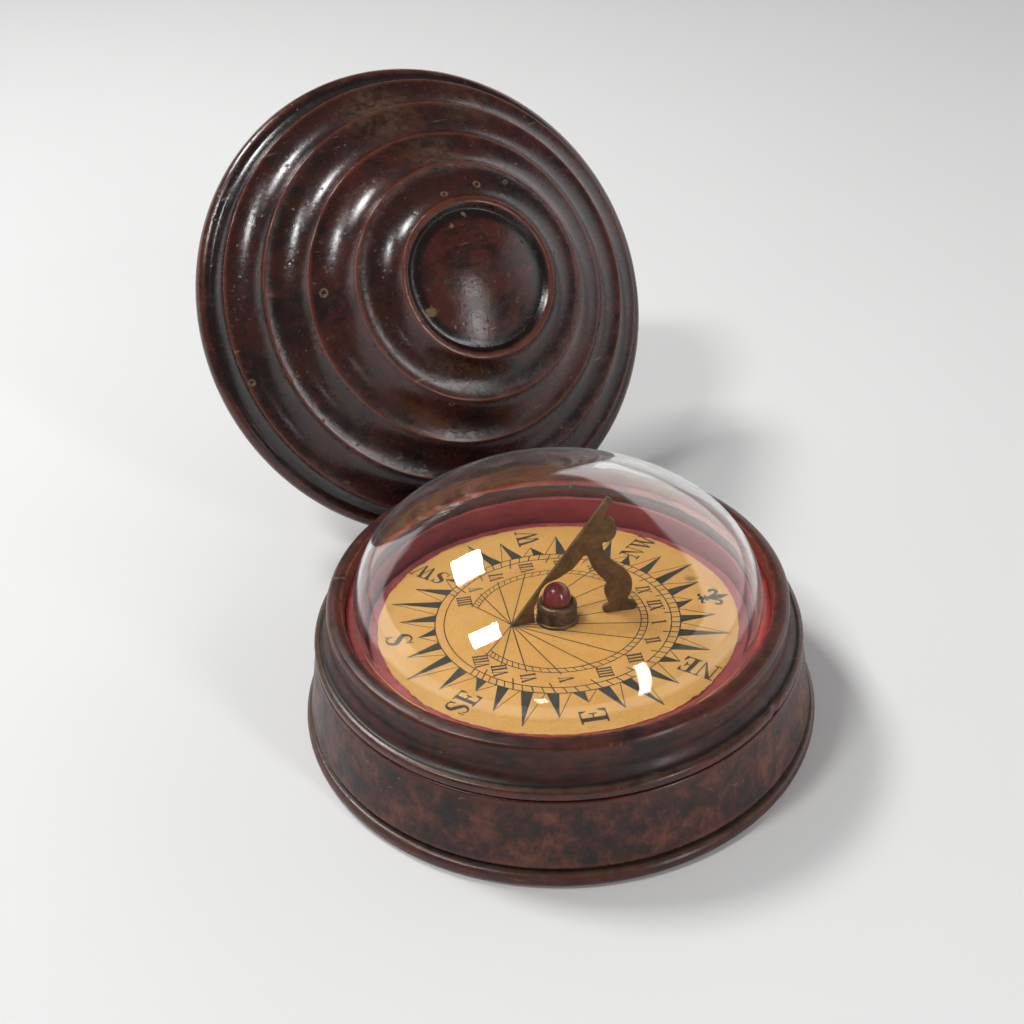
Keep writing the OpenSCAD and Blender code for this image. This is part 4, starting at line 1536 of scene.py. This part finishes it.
@dataclass
class Card:
    """Compass card with its print, cap, magnet and sundial plate."""

    card_r: float = 27.6
    card_h: float = 0.8
    print_r: float = 26.15
    print_h: float = 0.15
    ink_low: float = 0.001
    ink_high: float = 0.012
    stem_r: float = 2.4
    stem_bore_r: float = 1.6
    stem_low_z: float = -2.45
    cup_r: float = 3.1
    stone_r: float = 2.07
    stone_seat_z: float = 1.5
    stone_dome_z: float = 3.65
    stone_dome_rise: float = 1.12
    plate_half: float = 0.3
    plate_bevel: float = 0.06

    def build(self) -> None:
        """Makes and dresses the card's pieces."""
        self._disc()
        self._ink()
        self._cap()
        self._gnomon()

    def _ring(self, outer: float, low: float, high: float, low_round: float, high_round: float) -> np.ndarray:
        """Profile of a flat ring round the stem, with its outer edges rounded."""
        outside = [(outer, low, low_round), (outer, high, high_round)]
        return rounded([(self.stem_r, low, 0), *outside, (self.stem_r, high, 0)], closed=True)

    def _disc(self) -> None:
        """Pasteboard disc with its red margin, and the paper on it."""
        board = self._ring(self.card_r, -self.card_h - self.print_h, -self.print_h, 0.15, 0.2)
        margin = RedPaint(
            "card_margin", CARD, colour=(0.21, 0.026, 0.03), dark=(0.12, 0.015, 0.018), pale=(0.32, 0.065, 0.06),
            roughness=0.55,
        )
        disc = Turning("card_board", board, frame=CARD, longest=1.5)
        seat(disc.build(), Body.CARD, "card_disc", margin)
        face = self._ring(self.print_r, -self.print_h, 0, 0, 0.05)
        paper = CutPaper("printed_paper", face, frame=CARD, around=512)
        seat(paper.build(), Body.CARD, "dial_print", DialPaper("dial_paper", CARD))

    def _ink(self) -> None:
        """Ink of the dial, a thin film on the paper."""
        film = sheet("dial_ink", Dial().outlines(), self.ink_low, self.ink_high, CARD)
        seat(film, Body.CARD, "dial_print", PrintersInk("printers_ink", CARD), hide=False)

    def _cap(self) -> None:
        """Crimped brass cup and the garnet in it."""
        cup = rounded([
            (self.stem_bore_r, self.stem_low_z, 0), (self.stem_r, self.stem_low_z, 0.1), (self.stem_r, 0.0, 0),
            (self.cup_r, 0.0, 0.1), (self.cup_r, 0.35, 0.12), (2.93, 0.5, 0.1), (2.86, 2.3, 0.15), (2.92, 2.55, 0.15),
            (2.75, 3.05, 0.3), (2.3, 3.2, 0.2), (self.stone_r, 2.95, 0.03), (self.stone_r, self.stone_seat_z, 0),
            (self.stem_bore_r, self.stone_seat_z, 0),
        ], closed=True)
        brass = OldBrass("cup_brass", CARD, (0.16, 0.094, 0.045), (0.036, 0.024, 0.016), crusted=1.0, shine=0.34)
        crimped = Turning("crimped_cup", cup, frame=CARD, around=128, longest=0.4)
        seat(crimped.build(), Body.CARD, "cap_cup", brass)
        hollow = [(0.0, 2.85), (0.16, 2.85), (1.45, self.stone_seat_z), (2.0, self.stone_seat_z), (self.stone_r, 1.57)]
        dome = crown(0.0, self.stone_r, 0, 24) * (1.0, self.stone_dome_rise) + (0.0, self.stone_dome_z)
        stone = Turning("garnet_cap", np.vstack([hollow, dome]), closed=False, frame=CARD, around=96, longest=0.4)
        seat(stone.build(), Body.CARD, "cap_jewel", Garnet("garnet", CARD))

    def _gnomon(self) -> None:
        """Pierced brass plate, set upright along the north."""
        plate = self._plate(self._plate_outline())
        brass = OldBrass("plate_brass", CARD, (0.2, 0.115, 0.04), (0.1, 0.055, 0.02), crusted=0.0, shine=0.42)
        seat(plate, Body.CARD, "gnomon", brass)

    def _plate_outline(self) -> np.ndarray:
        """Outline of the sundial plate, given along the north and up.

        The straight blade comes first, then the curves of the knob, leg, toe, heel, shin
        and underside, each with its number of points, and the straight back foot.

        Returns:
            The closed outline, anticlockwise.
        """
        blade = [(-6.7, 0.0), (7.5, 19.0), (8.15, 18.35), (7.35, 17.0), (7.2, 16.5), (6.85, 15.6)]
        knob = ((6.9, 15.5), (7.7, 15.72), (8.5, 15.0), (8.72, 13.8), (8.45, 12.7), (7.7, 12.0), (6.75, 11.95))
        leg = (
            (6.65, 11.6), (6.95, 10.5), (7.65, 9.25), (8.6, 8.2), (9.6, 7.35), (10.4, 6.4), (10.9, 5.2),
            (10.97, 4.0), (10.75, 2.95), (10.35, 2.3),
        )
        toe = ((10.35, 1.95), (10.6, 1.6), (11.15, 1.35), (11.6, 0.95), (11.6, 0.4), (11.2, 0.05))
        heel = ((7.2, 0.0), (6.75, 0.3), (6.68, 0.85), (7.0, 1.3), (7.5, 1.5))
        shin = (
            (7.55, 1.7), (7.2, 2.6), (7.02, 3.2), (6.98, 4.0), (7.25, 4.75), (7.3, 5.25), (6.6, 6.05),
            (5.75, 7.15), (5.1, 8.3), (4.75, 9.4), (4.4, 10.2),
        )
        under = (
            (3.95, 10.15), (3.1, 9.1), (2.35, 8.25), (1.5, 7.75), (0.7, 7.2), (0.0, 6.85), (-1.2, 6.5),
            (-2.1, 5.75), (-2.6, 4.6),
        )
        foot = [(-2.75, 4.0), (-3.4, 2.5), (-3.4, 0.0)]
        curves = ((knob, 22), (leg, 30), (toe, 14), (heel, 10), (shin, 30), (under, 24))
        return np.vstack([blade, *(smooth_line(points, count) for points, count in curves), foot])[::-1]

    def _plate(self, outline: np.ndarray) -> bpy.types.Object:
        """Upright plate with bevelled edges.

        Args:
            outline: Its outline, along the north and up.

        Returns:
            The plate, in its place on the card.
        """
        made = sheet("sundial_plate", [outline], -self.plate_half, self.plate_half, UPRIGHT)
        values = np.zeros(len(made.data.vertices) * 3)
        made.data.vertices.foreach_get("co", values)
        flat = values.reshape(-1, 3) / MM
        along, across = polar(1.0, CARD_NORTH), polar(1.0, CARD_NORTH - 90)
        ground = flat[:, :1] * along + flat[:, 2:] * across
        placed = CARD.metres(np.column_stack([ground, flat[:, 1]]))
        made.data.vertices.foreach_set("co", placed.ravel())
        made.data.update()
        bevel = made.modifiers.new("bevel", "BEVEL")
        bevel.width = self.plate_bevel * MM
        bevel.segments = 2
        bevel.limit_method = "ANGLE"
        bevel.angle_limit = math.radians(50)
        return made

    def dress_underside(self, nodes: dict[str, bpy.types.Object]) -> None:
        """Gives the solids under the card their materials.

        Args:
            nodes: The solids by node.
        """
        assign(nodes["cap_collar"], OldBrass("collar_brass", CARD, bare=(0.5, 0.33, 0.13), crusted=0.1))
        assign(nodes["magnet_bar"], OldSteel("magnet_steel", CARD, bare=(0.22, 0.24, 0.28)))
        assign(nodes["magnet_straps"], PastedPaper("pasted_paper", CARD))


class LidTurning(Turning):
    """The lid's turning, a little out of true."""

    def swell(self, line: np.ndarray, angle: np.ndarray) -> np.ndarray:
        """Slow waves of a few hundredths of a millimetre, inwards only."""
        waves = 0.03 * np.sin(2 * angle + 0.6) + 0.02 * np.sin(5 * angle + line[:, 1:] * 0.4)
        return -np.clip(line[:, :1] / 8, 0, 1) * (0.05 + waves)


@dataclass
class Lid:
    """Stepped lid that leans behind the case."""

    edges: tuple[tuple[float, float], ...] = ((36.6, 9.4), (31.35, 14.4), (25.25, 18.45), (19.1, 23.9), (12.8, 27.4))
    edge_round: float = 0.22
    first_cove_depth: float = 0.55
    cove_depth: float = 1.3
    bore_r: float = 33.04
    rim_z: float = 6.2
    hollow_r: float = 33.4
    hollow_z: float = -8.45
    bead_centre: tuple[float, float] = (38.1, 3.9)
    bead_r: float = 1.9
    bead_top: tuple[float, float] = (38.4, 5.6)
    boss_r: float = 10.7
    boss_z: float = 26.5
    boss_rise: float = 2.1
    holes: Spots = (
        ((-0.74, 14.14, 25.37), 0.42), ((5.55, 14.47, 24.42), 0.45), ((10.75, 13.76, 23.84), 0.28),
        ((9.11, 11.66, 24.84), 0.28), ((-8.81, -17.68, 22.18), 0.34), ((-35.43, -4.98, 9.52), 0.42),
        ((-22.54, 4.79, 19.07), 0.5),
    )
    scuffs: Spots = (((-9.35, -3.13, 26.94), 1.1), ((0.8, 10.21, 26.83), 0.45), ((-1.89, 8.9, 27.14), 0.5))
    dusty: Spots = (((-2.0, 32.0, 14.0), 9.0), ((14.0, 30.0, 13.0), 7.0), ((2.0, 20.5, 21.0), 6.0))

    def profile(self) -> np.ndarray:
        """Profile from the hollow's top round the rim and over the steps to the boss.

        Between two edges the surface is an arc that dips below their straight line. The
        boss is a cap whose radius of curvature is its squared radius plus its squared
        rise, over twice its rise.

        Returns:
            The profile.
        """
        mouth = math.degrees(math.asin((self.rim_z - self.hollow_z) / self.hollow_r))
        hollow = crown(self.hollow_z, self.hollow_r, mouth, 36)[::-1]
        seat_rim = rounded([
            (*hollow[-1], 0), (self.bore_r, self.rim_z, 0.2), (self.bore_r, 0, 0.3), (35.2, 0, 0.3), (37.45, 2.1, 0.0),
        ])[1:-1]
        bead = arc(self.bead_centre, self.bead_r, -110, 72, 28)
        steps: list[Triple] = [(*bead[-1], 0.0)]
        lows = (self.bead_top, *self.edges[:-1])
        depths = (self.first_cove_depth, *[self.cove_depth] * (len(self.edges) - 1))
        for low, edge, depth in zip(lows, self.edges, depths):
            steps += [(*point, 0.0) for point in cove(low, edge, depth, 12)]
            steps.append((*edge, self.edge_round))
        steps += [(12.0, 27.4, 0.3), (11.2, 26.62, 0.25), (11.0, self.boss_z, 0.15), (self.boss_r, self.boss_z, 0.3)]
        stepped = rounded(steps)[1:-1]
        curve = (self.boss_r**2 + self.boss_rise**2) / (2 * self.boss_rise)
        start = math.degrees(math.asin((curve - self.boss_rise) / curve))
        boss = crown(self.boss_z + self.boss_rise - curve, curve, start, 24)[1:]
        return np.vstack([hollow, seat_rim, bead, stepped, boss])

    def build(self) -> None:
        """Makes and dresses the lid."""
        wood = Fruitwood("lid_fruitwood", LID, holes=self.holes, scuffs=self.scuffs, dusty=self.dusty)
        # A wide groove reach spreads painted shade across each cove of the lid.
        turning = LidTurning("lid_turning", self.profile(), False, LID, around=384, longest=0.9, grime_and_shade_reach=1.3)
        seat(turning.build(), Body.LID, "lid", wood)


@dataclass(frozen=True)
class Window:
    """Soft rectangular lamp, in millimetres, degrees and watts."""

    name: str
    place: Triple
    size: tuple[float, float]
    turn: float
    power: float

    def build(self, aim: Triple) -> None:
        """Hangs the lamp so that it faces a point, turned about its own axis.

        Args:
            aim: The point that it faces.
        """
        lamp = bpy.data.lights.new(self.name, "AREA")
        lamp.shape = "RECTANGLE"
        lamp.size, lamp.size_y = (side * MM for side in self.size)
        lamp.energy = self.power
        made = bpy.data.objects.new(self.name, lamp)
        facing = (Vector(self.place) - Vector(aim)).to_track_quat("Z", "Y").to_matrix()
        made.location = Vector(self.place) * MM
        made.rotation_euler = (facing @ Matrix.Rotation(math.radians(self.turn), 3, "Z")).to_euler()
        bpy.context.scene.collection.objects.link(made)


@dataclass
class Studio:
    """Pale floor, soft windows of light and the camera."""

    floor: Colour = (0.9, 0.9, 0.89)
    floor_half: float = 1500.0
    distance_colour: Colour = (0.72, 0.725, 0.72)
    fade: tuple[float, float] = (400.0, 700.0)
    room: Colour = (0.97, 0.97, 0.98)
    dim: float = 0.125
    bright: float = 1.375
    bright_to: float = 0.3
    aim: Triple = (-5.0, -10.0, 32.0)
    windows: tuple[Window, ...] = (
        Window("left_back", (-302.0, 221.5, 503.9), (135.0, 120.0), 42.0, 1.8),
        Window("left_front", (-292.4, -118.7, 549.4), (72.0, 124.0), -12.0, 1.15),
        Window("right_front", (392.0, -436.0, 182.0), (67.0, 560.0), -9.0, 1.4),
        Window("small_front", (-117.0, -607.3, 129.9), (62.0, 70.0), 23.0, 0.09),
    )
    camera_at: Triple = (-5.806, -167.636, 152.333)
    pitch: float = 0.6157
    roll: float = -0.0474
    sensor: float = 36.0
    focal_share: float = 1500.0 / 1024.0

    def build(self) -> None:
        """Sets up the floor, the light and the camera."""
        self._floor()
        self._world()
        for window in self.windows:
            window.build(self.aim)
        self._camera()

    def _floor(self) -> None:
        """Wide pale plane with a faint tone, which the camera sees fade into the distance."""
        corners = box(-self.floor_half, -self.floor_half, self.floor_half, self.floor_half)
        made = write_mesh("floor", np.column_stack([corners, np.zeros(4)]), [(0, 1, 2, 3)], UPRIGHT)
        shader = Shader.named("pale_floor")
        place = shader.place()
        colour = shader.mix(shader.noise(place, 60.0, 3.0, 0.5), self.floor, tuple(0.97 * part for part in self.floor))
        near = shader.node("ShaderNodeBsdfPrincipled", None, {"Base Color": colour, "Roughness": 0.8})
        far = shader.node("ShaderNodeEmission", None, {"Color": self.distance_colour, "Strength": 1.0})
        fade = shader.step(shader.distance(place, (0.0, 0.0, 0.0)), *self.fade) * shader.ray("Is Camera Ray")
        made.data.materials.append(shader.end(shader.blend(fade, near, far)))

    def _world(self) -> None:
        """Dim room with a bright strip low at the back; the camera sees a plain distance.

        The strip's upper edge lies at bright_to, and higher by a quarter towards the right.
        """
        world = bpy.data.worlds.new("surroundings")
        bpy.context.scene.world = world
        shader = Shader(world)
        way = shader.node("ShaderNodeTexCoord", output="Object")
        lift = shader.step(shader.axis(way, "X"), 0.0, 0.6) * 0.25
        low = shader.step(shader.axis(way, "Z") - lift, self.bright_to + 0.02, self.bright_to - 0.02)
        strip = low * shader.step(shader.axis(way, "Y"), -0.4, 0.1, 0.02, 1.0)
        looks = ((self.room, self.dim), (self.room, self.bright), (self.distance_colour, 1.0))
        dim, bright, plain = (
            shader.node("ShaderNodeBackground", None, {"Color": colour, "Strength": level}) for colour, level in looks
        )
        shader.end(shader.blend(shader.ray("Is Camera Ray"), shader.blend(strip, dim, bright), plain))

    def _camera(self) -> None:
        """Camera at the photograph's place, pitch, roll and field of view.

        The focal length is given as a share of the picture's width.
        """
        camera = bpy.data.cameras.new("view")
        camera.sensor_width = self.sensor
        camera.lens = self.sensor * self.focal_share
        camera.clip_start = 0.01
        made = bpy.data.objects.new("view", camera)
        forward = np.array([0.0, math.cos(self.pitch), -math.sin(self.pitch)])
        level = np.array([1.0, 0.0, 0.0])
        upward = np.cross(level, forward)
        turn = np.eye(4)
        turn[:3, 0] = math.cos(self.roll) * level + math.sin(self.roll) * upward
        turn[:3, 1] = math.cos(self.roll) * upward - math.sin(self.roll) * level
        turn[:3, 2] = -forward
        turn[:3, 3] = np.array(self.camera_at) * MM
        made.matrix_world = Matrix(turn.tolist())
        bpy.context.scene.collection.objects.link(made)
        bpy.context.scene.camera = made


def main() -> None:
    """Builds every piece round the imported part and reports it."""
    logging.basicConfig(level=logging.INFO, format="%(message)s")
    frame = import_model()
    bpy.context.scene.view_settings.view_transform = "Standard"
    case, card, lid = Case(), Card(), Lid()
    case.build()
    case.dress_pivot(frame["nodes"])
    card.build()
    card.dress_underside(frame["nodes"])
    lid.build()
    Studio().build()


if __name__ == "__main__":
    main()
